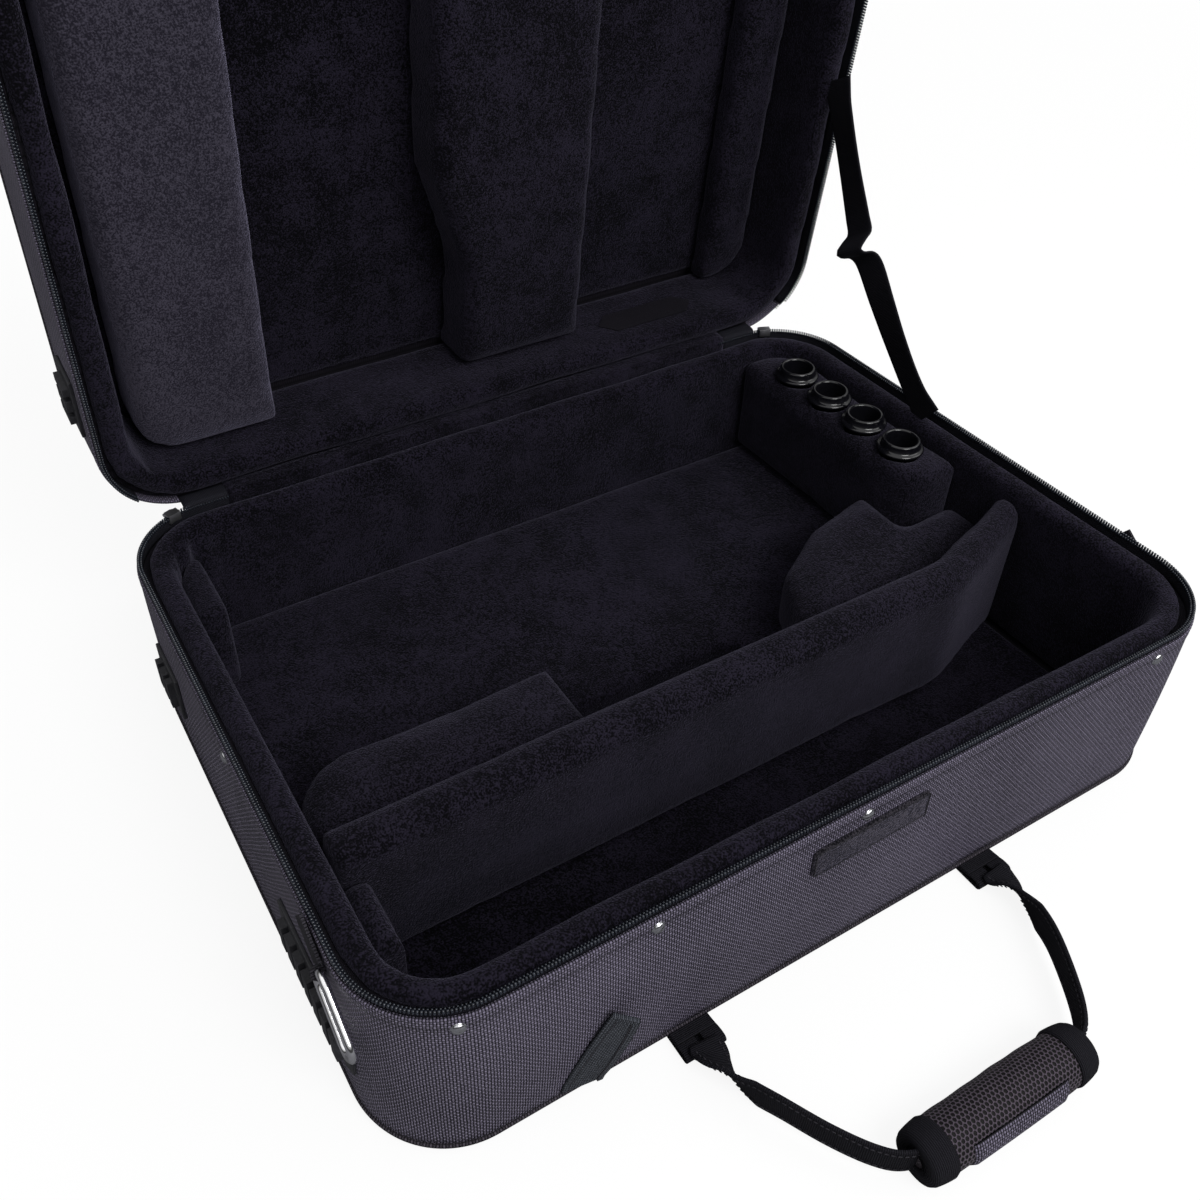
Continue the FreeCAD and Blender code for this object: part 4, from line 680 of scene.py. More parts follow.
def beside_skids(place, heights, lift=0.0):
    """The share of the sag that is left: none under the skids, all of it 8 mm from them."""
    gaps = []
    for low, high in SKID_RUNS:
        along = np.abs(place[:, 1:] - (low + high) / 2) - (high - low) / 2
        level = np.abs(heights - lift - (SKID_LOW + SKID_HIGH) / 2) - (SKID_HIGH - SKID_LOW) / 2
        gaps.append(np.maximum(along, level))
    away = np.clip(np.minimum(*gaps) / (8 * MM), 0, 1)
    return np.where(np.abs(place[:, :1]) < HALF_X - CORNER, 1, away)


def base_sag(place, heights):
    """How far the base's cloth stands out: broad low waves, fuller at the left of the front.

    A half sine over the height times a bell over the length, plus two slow waves.
    """
    x, y = place[:, :1], place[:, 1:]
    share = np.clip((heights - COVER_LOW) / (COVER_TOP - COVER_LOW), 0, 1)
    belly = np.sin(math.pi * np.clip(share * 0.9 + 0.06, 0, 1))
    front = np.clip((-y - HALF_Y + 12 * MM) / (12 * MM), 0, 1)
    full = 3.2 * MM * np.exp(-((x + 150 * MM) / (130 * MM)) ** 2) * front
    waves = 0.5 * MM * np.sin(x * 31 + heights * 19) + 0.4 * MM * np.sin(y * 37 - heights * 23)
    return belly * (full + 0.9 * MM + waves) * beside_skids(place, heights)


def front_face(x, z):
    """Where the outside of the base's front cloth is at places along it."""
    x, z = np.broadcast_arrays(np.asarray(x, float), np.asarray(z, float))
    place = np.column_stack([x.ravel(), np.full(x.size, -HALF_Y)])
    return -HALF_Y - base_sag(place, z.reshape(-1, 1)).reshape(x.shape)


LID_SKID_RISE = CLOSING + 44 * MM - (SKID_LOW + SKID_HIGH) / 2


def lid_sag(place, heights):
    """How far the lid's cloth stands out: a half sine over the height, with two slow waves."""
    x, y = place[:, :1], place[:, 1:]
    share = np.clip((heights - CLOSING) / (CLOSED_TOP - CLOSING), 0, 1)
    waves = 0.4 * MM * np.sin(x * 27 + heights * 17) + 0.4 * MM * np.sin(y * 33)
    flat = beside_skids(place, heights, LID_SKID_RISE)
    return np.sin(math.pi * share) * (0.7 * MM + waves) * flat


HEM = 7 * MM
PIPE = 2.6 * MM
PIPE_INSET = 1.3 * MM
PIPE_LIFT = 5 * MM


def covers():
    """The cover's cloth: round the base with its hem up, round the lid with its hem down."""
    base = band("base_cover_cloth", cover_section(COVER_LOW, COVER_TOP, HEM), "case_base",
                NYLON, sag=base_sag)
    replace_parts(base, "base_side_cover")
    low, high = 2 * CLOSING - COVER_TOP, CLOSED_TOP - PIPE_LIFT - 0.1 * MM
    section = [(inset, low + high - z) for inset, z in cover_section(low, high, HEM)]
    lid = band("lid_cover_cloth", section, "lid", NYLON, sag=lid_sag)
    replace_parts(lid, "lid_side_cover")


def pipings():
    """The braided piping round the bottom seam and round the lid's top seam."""
    angle = full_turn(12)
    for word, body, height in (("base", "case_base", PIPE_LIFT),
                               ("lid", "lid", CLOSED_TOP - PIPE_LIFT)):
        circle = np.stack([PIPE_INSET - PIPE * np.cos(angle), height + PIPE * np.sin(angle)], 1)
        cord = band(word + "_braid", circle, body, CORD, spacing=3 * MM)
        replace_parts(cord, word + "_piping")


PANEL_INSET = 4 * MM
PANEL_CROWN = 2.5 * MM
MIDDLE_SHARE = 0.06
OUTER_RINGS, INNER_RINGS = 26, 12


def plate(name, node, inner, outer, crown, body):
    """A flat panel of cloth: rings drawn in from the rounded outline to the middle.

    Its outer face bulges by the crown times one less the square of the share drawn out.
    """
    edge, _, _ = outline(PANEL_INSET, 6 * MM)
    share = np.concatenate([np.linspace(MIDDLE_SHARE, 1, OUTER_RINGS),
                            np.linspace(1, MIDDLE_SHARE, INNER_RINGS)])
    level = np.where(np.arange(len(share)) < OUTER_RINGS, outer + crown * (1 - share ** 2),
                     inner)
    flat = edge[None, :, :] * share[:, None, None]
    grid = np.concatenate([flat, np.broadcast_to(level[:, None, None], flat.shape[:2] + (1,))], 2)
    if body == "lid":
        grid = swing(grid)
    panel = skin(name, grid, body, NYLON, loop=(False, True), ends=True,
                 plan=flat)
    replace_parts(panel, node)


def panels():
    """The cloth under the base and on the lid's top."""
    plate("base_under_cloth", "base_bottom_panel", 1.6 * MM, 0.1 * MM, 0, "case_base")
    plate("lid_top_cloth", "lid_top_panel", CLOSED_TOP - COVER, CLOSED_TOP, PANEL_CROWN, "lid")


BACK_RUN = 2 * (HALF_X - CORNER)
ZIP_INSET = 2.1 * MM
ZIP_RUN = 20 * MM
BASE_TEETH = 129.7 * MM
LID_TEETH = 2 * CLOSING - BASE_TEETH
TOOTH_PITCH = 1.9 * MM
TOOTH = np.array((0.56, 1.25, 0.78)) * MM
ROW_SHIFT = 0.85 * MM
INNER_SIZE = 0.72
INNER_DROP = 2.2 * MM
STITCH = np.array((1.15, 0.28, 0.3)) * MM
STITCH_PITCH = 3.4 * MM
STITCH_DROP = 2.4 * MM
STITCH_STAND = 0.35 * MM
TAPE_FOOT = 120.2 * MM
TAPE_TOP = 129.2 * MM
LID_TAPE_TOP = 144 * MM


def whole_length(inset):
    """The length once round the case at an inset."""
    return 2 * BACK_RUN + 4 * (HALF_Y - CORNER) + 2 * math.pi * (CORNER - inset)


def base_run(inset):
    """The base's zipper: all round but for the back, with a short run on at both of its ends."""
    return BACK_RUN - ZIP_RUN, whole_length(inset) + ZIP_RUN


def lid_run(inset):
    """The lid's zipper: from half way round one rear corner to half way round the other."""
    half_corner = (CORNER - inset) * math.pi / 4
    return BACK_RUN + half_corner, whole_length(inset) - half_corner


def blocks_round(name, block, inset, pitch, level, run, sizes, body, finish):
    """A row of small blocks round the wall; sizes are half a block along, up and out."""
    place, out, _ = outline(inset, pitch, run)
    points, out = at_level(place, level), at_level(out, 0.0)
    ways = [np.cross(out, (0, 0, 1)), np.broadcast_to((0, 0, 1.0), out.shape), out]
    ways = np.stack([way * size for way, size in zip(ways, sizes)], 1)
    if body == "lid":
        ways, points = ways @ LID_TURN.T, swing(points)
    return scattered(name, block, (ways, points), body, finish)


def teeth(name, level, run, body):
    """Moulded teeth: a row of bevelled blocks, and inside it a row of lower and smaller ones."""
    rows = []
    for side, size in ((1, 1.0), (-1, INNER_SIZE)):
        drop = (1 - size) * INNER_DROP * (-1 if body == "lid" else 1)
        rows.append(blocks_round(name, unit_box(0.4), ZIP_INSET - side * ROW_SHIFT, TOOTH_PITCH,
                                 level - drop, run, TOOTH * size, body, TEETH))
    return joined(name, rows)


def hem_stitches(name, level, run, body):
    """A row of thread stitches that lie along the wall.

    The box's bevelled way is put first, which mirrors it, so its faces are turned as well.
    """
    shape, faces = unit_box(0.3)
    blocks_round(name, (shape[:, ::-1], faces[:, ::-1]), -STITCH_STAND, STITCH_PITCH, level,
                 run, STITCH, body, THREAD)


def tape_section(low, high):
    """Closed section of the zipper's tape: up its outer face and down its inner one."""
    inner, outer = 2.6 * MM, 1.7 * MM
    levels = np.linspace(low, high, 5)
    return [(outer, z) for z in levels] + [(inner, z) for z in levels[::-1]]


def zipper():
    """Both halves of the zipper: teeth, tape and the cover's hem stitches beside it."""
    for word, body, run, level, tape, hem in (
            ("base", "case_base", base_run, BASE_TEETH, (TAPE_FOOT, TAPE_TOP),
             COVER_TOP - STITCH_DROP),
            ("lid", "lid", lid_run, LID_TEETH, (2 * CLOSING - TAPE_TOP, LID_TAPE_TOP),
             2 * CLOSING - COVER_TOP + STITCH_DROP)):
        row = teeth(word + "_teeth", level, run(ZIP_INSET), body)
        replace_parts(row, word + "_zip_coil")
        strip = band(word + "_tape", tape_section(*tape), body, TAPE,
                     run=run(ZIP_INSET))
        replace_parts(strip, word + "_zip_tape")
        hem_stitches(word + "_hem_stitches", hem, run(0), body)


# Plush pads

DRAWN_IN = 1.5 * MM
LID_FACE = LID_TURN @ np.array((0, 0, -1.0))


def swell(piece, rest, up, crown):
    """Fills a pad: cloth under pressure, whose points then move no further than allowed.

    A move is split along the pad's free way and across it. The first part stays under the
    crown and the second within the distance that the pad was drawn in by.
    """
    cloth = piece.modifiers.new("filling", "CLOTH")
    cloth.settings.quality = 4
    cloth.settings.use_pressure = True
    cloth.settings.uniform_pressure_force = 4
    cloth.settings.tension_stiffness = 20
    cloth.settings.bending_stiffness = 2
    cloth.settings.effector_weights.gravity = 0
    scene = bpy.context.scene
    for moment in range(1, 21):
        scene.frame_set(moment)
    seen = piece.evaluated_get(bpy.context.evaluated_depsgraph_get())
    move = points_of(seen.data) - rest
    piece.modifiers.remove(cloth)
    scene.frame_set(1)
    lift = move @ up
    across = move - lift[:, None] * up
    far = np.linalg.norm(across, axis=1)
    across *= (np.minimum(far, DRAWN_IN) / np.maximum(far, 1e-9))[:, None]
    return rest + across + np.clip(lift, -DRAWN_IN, crown)[:, None] * up


def stuffed(node, name, finish, voxel=5 * MM, crown=3 * MM,
            ease=3, folds=None, cloth=True):
    """A plush pad over foam, made from the solid that it replaces.

    The solid is remeshed, its corners are eased and it is drawn in; then it swells as cloth.
    """
    body = frame["nodes"][node]["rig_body"]
    piece = merged_copy(node, name)
    even = piece.modifiers.new("even mesh", "REMESH")
    even.mode = "VOXEL"
    even.voxel_size = voxel
    soft = piece.modifiers.new("eased corners", "SMOOTH")
    soft.factor = 0.5
    soft.iterations = ease
    settle(piece)
    mesh = piece.data
    rest = points_of(mesh) - normals_of(mesh) * DRAWN_IN
    put_points(mesh, rest)
    up = LID_FACE if body == "lid" else np.array((0, 0, 1.0))
    if cloth:
        put_points(mesh, swell(piece, rest, up, crown + DRAWN_IN))
    if folds is not None:
        put_points(mesh, folds(points_of(mesh), normals_of(mesh)))
    finer = piece.modifiers.new("finer", "SUBSURF")
    finer.levels = 1
    finer.render_levels = 1
    smooth(mesh)
    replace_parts(dress(piece, body, finish), node)


def wavy(points, normals, size, reach, seed):
    """Moves points along their ways out by a sum of three slow sine waves."""
    draw = np.random.default_rng(seed)
    move = np.zeros(len(points))
    for _ in range(3):
        way = draw.normal(size=3)
        way *= 2 * math.pi / (size * np.linalg.norm(way))
        move += np.sin(points @ way + draw.uniform(0, 6))
    return points + normals * (move * reach / 3)[:, None]


LIP_FULLNESS = 2.8 * MM
LIP_DEEP = 12 * MM
LIP_FADE = 5 * MM
LIP_INSET = 20 * MM


def fuller_lip(points, lid=False):
    """Moves the lip's outside towards the zipper.

    The move is whole near the closing plane and gone 12 mm from it. It grows from nothing at
    20 mm inside the wall to whole at 8 mm.
    """
    shut = (points - HINGE) @ LID_TURN + HINGE if lid else points
    reach = np.array((HALF_X - CORNER, HALF_Y - CORNER))
    arm = shut[:, :2] - np.clip(shut[:, :2], -reach, reach)
    far = np.maximum(np.linalg.norm(arm, axis=1), 1e-9)
    share = np.clip((far - CORNER + LIP_INSET) / LIP_DEEP, 0, 1)
    share *= np.clip((LIP_DEEP - np.abs(shut[:, 2] - CLOSING)) / LIP_FADE, 0, 1)
    shut = shut + at_level(arm / far[:, None] * (share * LIP_FULLNESS)[:, None], 0.0)
    return swing(shut) if lid else shut


# Each fold round the corner: its angle and its width in degrees, and its depth
CORNER_FOLDS = ((100, 8, 3.0 * MM), (116, 6, -1.4 * MM), (132, 9, 3.8 * MM), (148, 6, -1.4 * MM),
                (164, 8, 3.0 * MM))
FOLDS_FROM = 30 * MM
FOLDS_GROW = 60 * MM
FOLDS_TOP = 124 * MM
FOLDS_INSET = 14 * MM


def wall_folds(points, normals):
    """The wall's plush: slow waves, and upright folds gathered in the rear left corner.

    A fold is a bell over the angle round the corner, fading out downwards.
    """
    moved = fuller_lip(wavy(points, normals, 90 * MM, 0.7 * MM, 4))
    centre = np.array((-(HALF_X - CORNER), HALF_Y - CORNER))
    arm = points[:, :2] - centre
    angle = np.degrees(np.arctan2(arm[:, 1], arm[:, 0]))
    inside = (np.linalg.norm(arm, axis=1) < CORNER - FOLDS_INSET) & (points[:, 2] < FOLDS_TOP)
    inside &= (arm[:, 0] < 0) & (arm[:, 1] > 0)
    grown = np.clip((points[:, 2] - FOLDS_FROM) / FOLDS_GROW, 0, 1)
    for at, wide, deep in CORNER_FOLDS:
        bell = np.exp(-((angle - at) / wide) ** 2) * grown
        moved += normals * (inside * bell * deep)[:, None]
    return moved


def pads():
    """Every lining and pad; the flat ones are only eased and waved."""
    stuffed("base_lining", "base_wall_plush", LINING, crown=1.5 * MM,
            folds=wall_folds)
    stuffed("lid_lining", "lid_wall_plush", LINING, crown=1.5 * MM,
            folds=lambda p, n: fuller_lip(wavy(p, n, 80 * MM, 0.8 * MM, 6), lid=True))
    stuffed("divider", "divider_plush", PAD, crown=1.5 * MM)
    stuffed("body_pad", "body_pad_plush", PAD, crown=3 * MM)
    stuffed("bow_pad", "bow_pad_plush", PAD, crown=4 * MM)
    stuffed("bell_pad", "bell_pad_plush", PAD, crown=2 * MM)
    stuffed("end_pad", "end_pad_plush", PAD, voxel=4 * MM, crown=2 * MM)
    stuffed("mouthpiece_block", "block_plush", PAD, voxel=4 * MM, crown=0.5 * MM)
    stuffed("lid_left_block", "lid_left_plush", SMOOTH_PAD, crown=2 * MM)
    stuffed("lid_middle_block", "lid_middle_plush", LINING, crown=2 * MM)
    stuffed("lid_right_block", "lid_right_plush", LINING, crown=2 * MM)
    for node, name, slot, voxel in (
            ("horn_floor", "horn_floor_plush", "plush_foam", 6 * MM),
            ("floor_lining", "floor_plush", "plush_lining", 4 * MM),
            ("lid_ceiling_pad", "lid_ceiling_plush", "plush_lining", 4 * MM)):
        stuffed(node, name, LINING, cloth=False, voxel=voxel, ease=1,
                folds=lambda p, n: wavy(p, n, 110 * MM, 0.5 * MM, 9))


# Hard and sewn fittings

BLOCK_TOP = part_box("mouthpiece_block")[1].z
SLEEVE_X = 236.2 * MM
SLEEVE_FIRST = 28 * MM
SLEEVE_PITCH = 39 * MM


def sleeves():
    """Four moulded cups: each spun from its wall, a thin flange and a round collar."""
    bore, wall, flange, collar = 11 * MM, 12.8 * MM, 17 * MM, 13.8 * MM
    top, rim, depth = 2.4 * MM, 8.4 * MM, 60 * MM
    bend = np.linspace(0, math.pi, 9)
    half = (collar - bore) / 2
    crown = [(bore + half + half * math.cos(a), rim - half + half * math.sin(a)) for a in bend]
    profile = [(0.2 * MM, -depth - 2 * MM), (wall, -depth - 2 * MM), (wall, -0.1 * MM),
               (flange - 0.5 * MM, 0.1 * MM), (flange, 0.6 * MM), (flange, top - 0.8 * MM),
               (flange - 0.9 * MM, top), (collar + 1.2 * MM, top + 0.1 * MM),
               (collar + 0.2 * MM, top + 0.9 * MM)] + crown + [
                   (bore, 0), (bore, -depth), (0.2 * MM, -depth)]
    cups = [turned("sleeve", profile, (SLEEVE_X, SLEEVE_FIRST + SLEEVE_PITCH * k, BLOCK_TOP),
                   (0, 0, 1), "case_base", SLEEVE, "sleeve_plastic") for k in range(4)]
    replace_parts(joined("moulded_sleeves", cups), "mouthpiece_sleeves")


RIVET_HEIGHT = 118 * MM
RIVET_RADIUS = 3.7 * MM
RIVET_RISE = 1.9 * MM
RIVET_SKIRT = 4.1 * MM
AXIS_GAP = 0.1 * MM
FRONT_RIVETS = (-246 * MM, -141 * MM, -9 * MM, 218 * MM)
END_RIVET = -5 * MM


def wall_at(x):
    """Where the front wall is at x, and the way out of it, also round its corners."""
    over = abs(x) - (HALF_X - CORNER)
    if over <= 0:
        return np.array((x, -HALF_Y)), np.array((0.0, -1.0))
    angle = math.asin(over / CORNER)
    out = np.array((math.copysign(math.sin(angle), x), -math.cos(angle)))
    centre = np.array((math.copysign(HALF_X - CORNER, x), CORNER - HALF_Y))
    return centre + out * CORNER, out


def rivets():
    """Domed heads: the height falls from the middle as a quarter of an ellipse."""
    angle = np.linspace(0, math.pi / 2, 7)
    dome = [(max(RIVET_RADIUS * math.cos(a), AXIS_GAP), RIVET_RISE * math.sin(a)) for a in angle]
    profile = [(AXIS_GAP, -0.6 * MM), (RIVET_SKIRT, -0.6 * MM), (RIVET_SKIRT, -0.1 * MM)] + dome
    seats = [wall_at(x) for x in FRONT_RIVETS]
    seats += [(np.array((side * HALF_X, END_RIVET)), np.array((side, 0.0))) for side in (-1, 1)]
    heads = []
    for place, out in seats:
        reach = base_sag(place[None], np.array([[RIVET_HEIGHT]]))[0, 0] + 0.2 * MM
        heads.append(turned("rivet", profile, np.append(place + out * reach, RIVET_HEIGHT),
                            np.append(out, 0), "case_base", STEEL, "rivet_steel", sides=24))
    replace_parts(joined("domed_rivets", heads), "base_rivets")


RING_LEAN = math.radians(36)
RING_ALONG = np.array((0, -math.cos(RING_LEAN), -math.sin(RING_LEAN)))
RING_ACROSS = np.array((0, math.sin(RING_LEAN), -math.cos(RING_LEAN)))
RING_WIRE = 2.2 * MM


def ways_round(line):
    """The way along a closed line at each of its points."""
    return unit(np.roll(line, -1, 0) - np.roll(line, 1, 0))


def wire_ring(side):
    """A round wire bent to a rounded rectangle, hanging from the middle of its short side."""
    pivot = np.array((side * 289, -146, 109)) * MM
    half, long, bend = 11.8 * MM, 41.6 * MM, 8 * MM
    angle = np.linspace(0, math.pi / 2, 10)
    centres = ((half - bend, long - bend), (bend - half, long - bend), (bend - half, bend),
               (half - bend, bend))
    line = []
    for quarter, (across, along) in enumerate(centres):
        turn = angle + quarter * math.pi / 2
        line.append(pivot + RING_ACROSS * (across + bend * np.cos(turn))[:, None]
                    + RING_ALONG * (along + bend * np.sin(turn))[:, None])
    line = np.vstack(line)
    outward = np.array((1.0, 0, 0))
    beside = np.cross(ways_round(line), outward)
    angle = full_turn(16)
    grid = (line[:, None, :] + RING_WIRE * (np.cos(angle)[:, None] * beside[:, None, :]
                                            + np.sin(angle)[:, None] * outward))
    word = "left" if side < 0 else "right"
    ring = skin(word + "_wire_ring", grid, word + "_ring", CHROME)
    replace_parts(ring, word + "_ring")


# Carry handle

HANDLE_X = -5 * MM
SPAN = 108 * MM
PIVOT_Y = -226 * MM
PIVOT_Z = 3.3 * MM
FOLD = 2.15 * MM
GRIP_Y = -330 * MM
GRIP_Z = 15.5 * MM
GRIP_LENGTH = 114 * MM
GRIP_RADIUS = 15.2 * MM


def handle_strap():
    """A strap that lies flat over its knuckles and twists on edge along a bow to the grip."""
    right = [(SPAN, PIVOT_Y + 1.5 * MM, 7.3 * MM), (SPAN + 0.6 * MM, -232 * MM, 7.7 * MM),
             (SPAN + 0.8 * MM, -240 * MM, 9.2 * MM), (105.5 * MM, -257 * MM, 11.4 * MM),
             (97.5 * MM, -277 * MM, GRIP_Z), (86 * MM, -299 * MM, GRIP_Z),
             (74 * MM, -317 * MM, GRIP_Z), (63 * MM, -327 * MM, GRIP_Z),
             (50 * MM, GRIP_Y, GRIP_Z), (20 * MM, GRIP_Y, GRIP_Z)]
    left = [(-x, y, z) for x, y, z in right[::-1]]
    line, length = resampled(np.array(right + left) + (HANDLE_X, 0, 0), 1.5 * MM)
    from_end = np.minimum(length, length[-1] - length) / MM
    twist = np.interp(from_end, (0, 6, 22, 40), (0.0, 0.12, 1.05, math.pi / 2))
    wide = np.interp(from_end, (0, 3, 8, 24), (17, 20, 21, 19.6)) * MM
    level = unit(np.cross(np.gradient(line, axis=0), (0, 0, 1.0)))
    first_half = np.where(length < length[-1] / 2, 1.0, -1.0)
    across = (level * (first_half * np.cos(twist))[:, None]
              + np.array((0, 0, 1.0)) * np.sin(twist)[:, None])
    strap = ribbon("handle_strap", line, wide, 2.2 * MM, "carry_handle", WEB,
                   across)
    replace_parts(strap, "handle_web")
    for number, shift in enumerate((-0.36, 0.36), start=1):
        seam("strap_seam_" + str(number), line, across, wide * shift, 1.35 * MM, "carry_handle",
             3.2 * MM)


def seam(name, line, across, shift, lift, body, pitch):
    """Stitches on both faces of a strap, in rows beside its middle line."""
    along, side, up = ways_of(line, across)
    length = lengths_along(line)
    even = np.arange(pitch, length[-1] - pitch, pitch)
    place, ahead, beside, above = [
        np.stack([np.interp(even, length, part[:, k]) for k in range(3)], 1)
        for part in (line + side * shift[:, None], along, side, up)]
    ways = np.stack([beside * 0.3 * MM, above * 0.3 * MM, ahead * 1.05 * MM], 1)
    joined(name, [scattered(name, unit_box(0.3), (ways, place + above * lift * face), body,
                            THREAD) for face in (1, -1)])


def grip_radius(x):
    """The grip's radius along it: full in the middle and eased down towards both ends."""
    share = np.abs(x) / (GRIP_LENGTH / 2)
    return GRIP_RADIUS * (1 - 0.035 * share ** 2) * (1 - 0.13 * share ** 8)


def round_grip(x, extra, angle, ripple=0.0):
    """A grid round the grip: its radius plus the extra at each x, over a range of angles."""
    x = x[:, None]
    draw = np.sin(angle * 5 + x * 90) * np.sin(x * 210)
    radius = grip_radius(x) + extra[:, None] + ripple * draw
    return np.stack([np.broadcast_to(x + HANDLE_X, radius.shape), GRIP_Y + radius * np.cos(angle),
                     GRIP_Z + radius * np.sin(angle)], 2)


def grip():
    """The mesh barrel over the strap, a binding round each end and the closure's flap."""
    full = full_turn(56)
    end = GRIP_LENGTH / 2
    inner = np.linspace(-end, end, 60)
    stations = np.concatenate([[-end] * 4, inner, [end] * 4])
    shrink = np.array([-12.5, -9, -4, -1.2]) * MM
    extra = np.concatenate([shrink, np.zeros(60), shrink[::-1]])
    barrel = skin("grip_mesh_cover", round_grip(stations, extra, full, 0.25 * MM),
                  "carry_handle", MESH, loop=(False, True), ends=True)
    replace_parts(barrel, "handle_grip")
    bindings = []
    for side in (-1, 1):
        low, high = end - 14 * MM, end + 0.6 * MM
        x = np.concatenate([np.linspace(low, high, 8), np.linspace(high, low, 8)]) * side
        thick = np.concatenate([[0.5], np.full(6, 1.3), [0.7], [-8.5], np.full(6, 0.1), [0.1]])
        bindings.append(skin("binding", round_grip(x, thick * MM, full), "carry_handle", WEB))
    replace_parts(joined("grip_bindings", bindings), "handle_bindings")
    reach = 33 * MM
    turn = np.linspace(math.pi - 0.72, math.pi + 0.72, 24)
    x = np.concatenate([np.linspace(-reach, reach, 24), np.linspace(reach, -reach, 24)])
    lift = np.concatenate([[0.3], np.full(22, 1.5), [0.3], [0.05], np.full(22, 0.05), [0.05]])
    flap = skin("closure_flap", round_grip(x, lift * MM, turn), "carry_handle", NYLON,
                loop=(True, False))
    cap_open_sides(flap)
    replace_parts(flap, "handle_closure")


def cap_open_sides(piece):
    """Closes a tube's two open ends with one face each."""
    work = bmesh.new()
    work.from_mesh(piece.data)
    bmesh.ops.holes_fill(work, edges=[e for e in work.edges if e.is_boundary], sides=0)
    bmesh.ops.recalc_face_normals(work, faces=work.faces)
    work.to_mesh(piece.data)
    work.free()


def anchors():
    """Webbing from under the front edge, folded round the handle's pin and back on itself."""
    under = [(-207, 1.2), (-216, 1.15), (-223.5, 1.15)]
    fold = [((PIVOT_Y + FOLD * math.cos(a)) / MM, (PIVOT_Z + FOLD * math.sin(a)) / MM)
            for a in np.linspace(-math.pi / 2, -3 * math.pi / 2, 11)]
    loop = [(-221, 1.2), (-223.5, 1.2)] + fold + [(-222, 5.4), (-216, 4.0), (-208, 3.4)]
    top = [(-219, 5.3), (-214, 4.6), (-208, 4.2)]
    pin = np.array([(0.05, -12.6), (1.3, -12.6), (1.3, 12.6), (0.05, 12.6)]) * MM
    pieces = []
    for side in (-1, 1):
        middle = HANDLE_X + side * SPAN
        for shift, path, spacing, wide, thick in (
                (0, under, 1.5, 26, 1.5), (-7.4, loop, 0.8, 11.2, 1.5),
                (7.4, loop, 0.8, 11.2, 1.5), (0, top, 1.5, 25.4, 1.4)):
            points = [(middle + shift * MM, y * MM, z * MM) for y, z in path]
            line, _ = resampled(points, spacing * MM)
            pieces.append(ribbon("anchor", line, wide * MM, thick * MM, "case_base", WEB,
                                 (1, 0, 0)))
        pieces.append(turned("anchor", pin, (middle, PIVOT_Y, PIVOT_Z), (1, 0, 0), "case_base",
                             WEB, "webbing", sides=16))
    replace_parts(joined("folded_anchors", pieces), "handle_anchors")


STAY_BASE = np.array((270, 38, 132.2)) * MM
STAY_TOP = np.array((270, 186.7, 335.7)) * MM


def stay():
    """A strap between the lips that hangs a little slack, with one sharp fold in it."""
    between = np.array([(270, 176, 314), (270, 158, 278), (270, 143, 249), (269, 137, 239),
                        (262, 134, 235), (255, 131, 230), (258, 129, 227), (266, 127, 225),
                        (270, 121, 218), (270.5, 104, 197), (270.5, 84, 174),
                        (270, 60, 150)]) * MM
    line, length = resampled(np.vstack([STAY_TOP, between, STAY_BASE]), 2.5 * MM)
    share = length / length[-1]
    across = np.stack([0.12 * np.sin(share * 9), np.full(len(line), 0.86),
                       np.full(len(line), -0.5)], 1)
    wide = np.interp(share, (0, 0.06, 0.45, 0.55, 0.94, 1), (29, 24.5, 24, 24, 24.5, 29)) * MM
    strap = ribbon("lid_stay_strap", line, wide, 1.7 * MM, "", WEB, across)
    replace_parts(strap, "lid_stay")
    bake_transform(strap)


def hinge_sheet(name, low_x, high_x, foot, half_thick, finish):
    """Cloth up the back, round the hinge line and into the lid, with slow waves along it."""
    bend = 2.6 * MM
    run = bend * math.tan(OPEN / 2)
    line = [(HINGE[1], z) for z in np.linspace(foot, CLOSING - run, 5)]
    centre = (HINGE[1] + bend, CLOSING - run)
    line += [(centre[0] - bend * math.cos(a), centre[1] + bend * math.sin(a))
             for a in np.linspace(0, OPEN, 7)[1:]]
    ahead = np.array((math.sin(OPEN), math.cos(OPEN)))
    line += [tuple(np.array((HINGE[1], CLOSING)) + ahead * s)
             for s in np.linspace(run, 11.8 * MM, 4)[1:]]
    line = np.array(line)
    x = np.linspace(low_x, high_x, max(6, int((high_x - low_x) / (3.5 * MM))))
    way = unit(np.gradient(line, axis=0))
    normal = np.stack([-way[:, 1], way[:, 0]], 1)
    wave = 0.3 * MM * np.sin(x * 120)[:, None] * np.sin(np.linspace(0, math.pi, len(line)))
    sides = [line[None] + normal[None] * (wave + shift)[..., None]
             for shift in (half_thick, -half_thick)]
    section = np.concatenate([sides[0], sides[1][:, ::-1]], 1)
    grid = np.concatenate([np.broadcast_to(x[:, None, None], section.shape[:2] + (1,)),
                           section], 2)
    cloth = skin(name, grid, "", finish, loop=(False, True), ends=True)
    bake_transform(cloth)
    return cloth, float(lengths_along(line)[-1])


def gusset():
    """The hinge cloth, and a narrow tape beyond each end of it up to the zipper's ends."""
    half = 209.7 * MM
    cloth, long = hinge_sheet("hinge_cloth", -half, half, TAPE_FOOT, 0.4 * MM, LINING)
    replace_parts(cloth, "hinge_gusset")
    for word, low, high in (("left", -240.5, -209), ("right", 209, 240.5)):
        hinge_sheet(word + "_end_tape", low * MM, high * MM, TAPE_TOP, 0.3 * MM, TAPE)


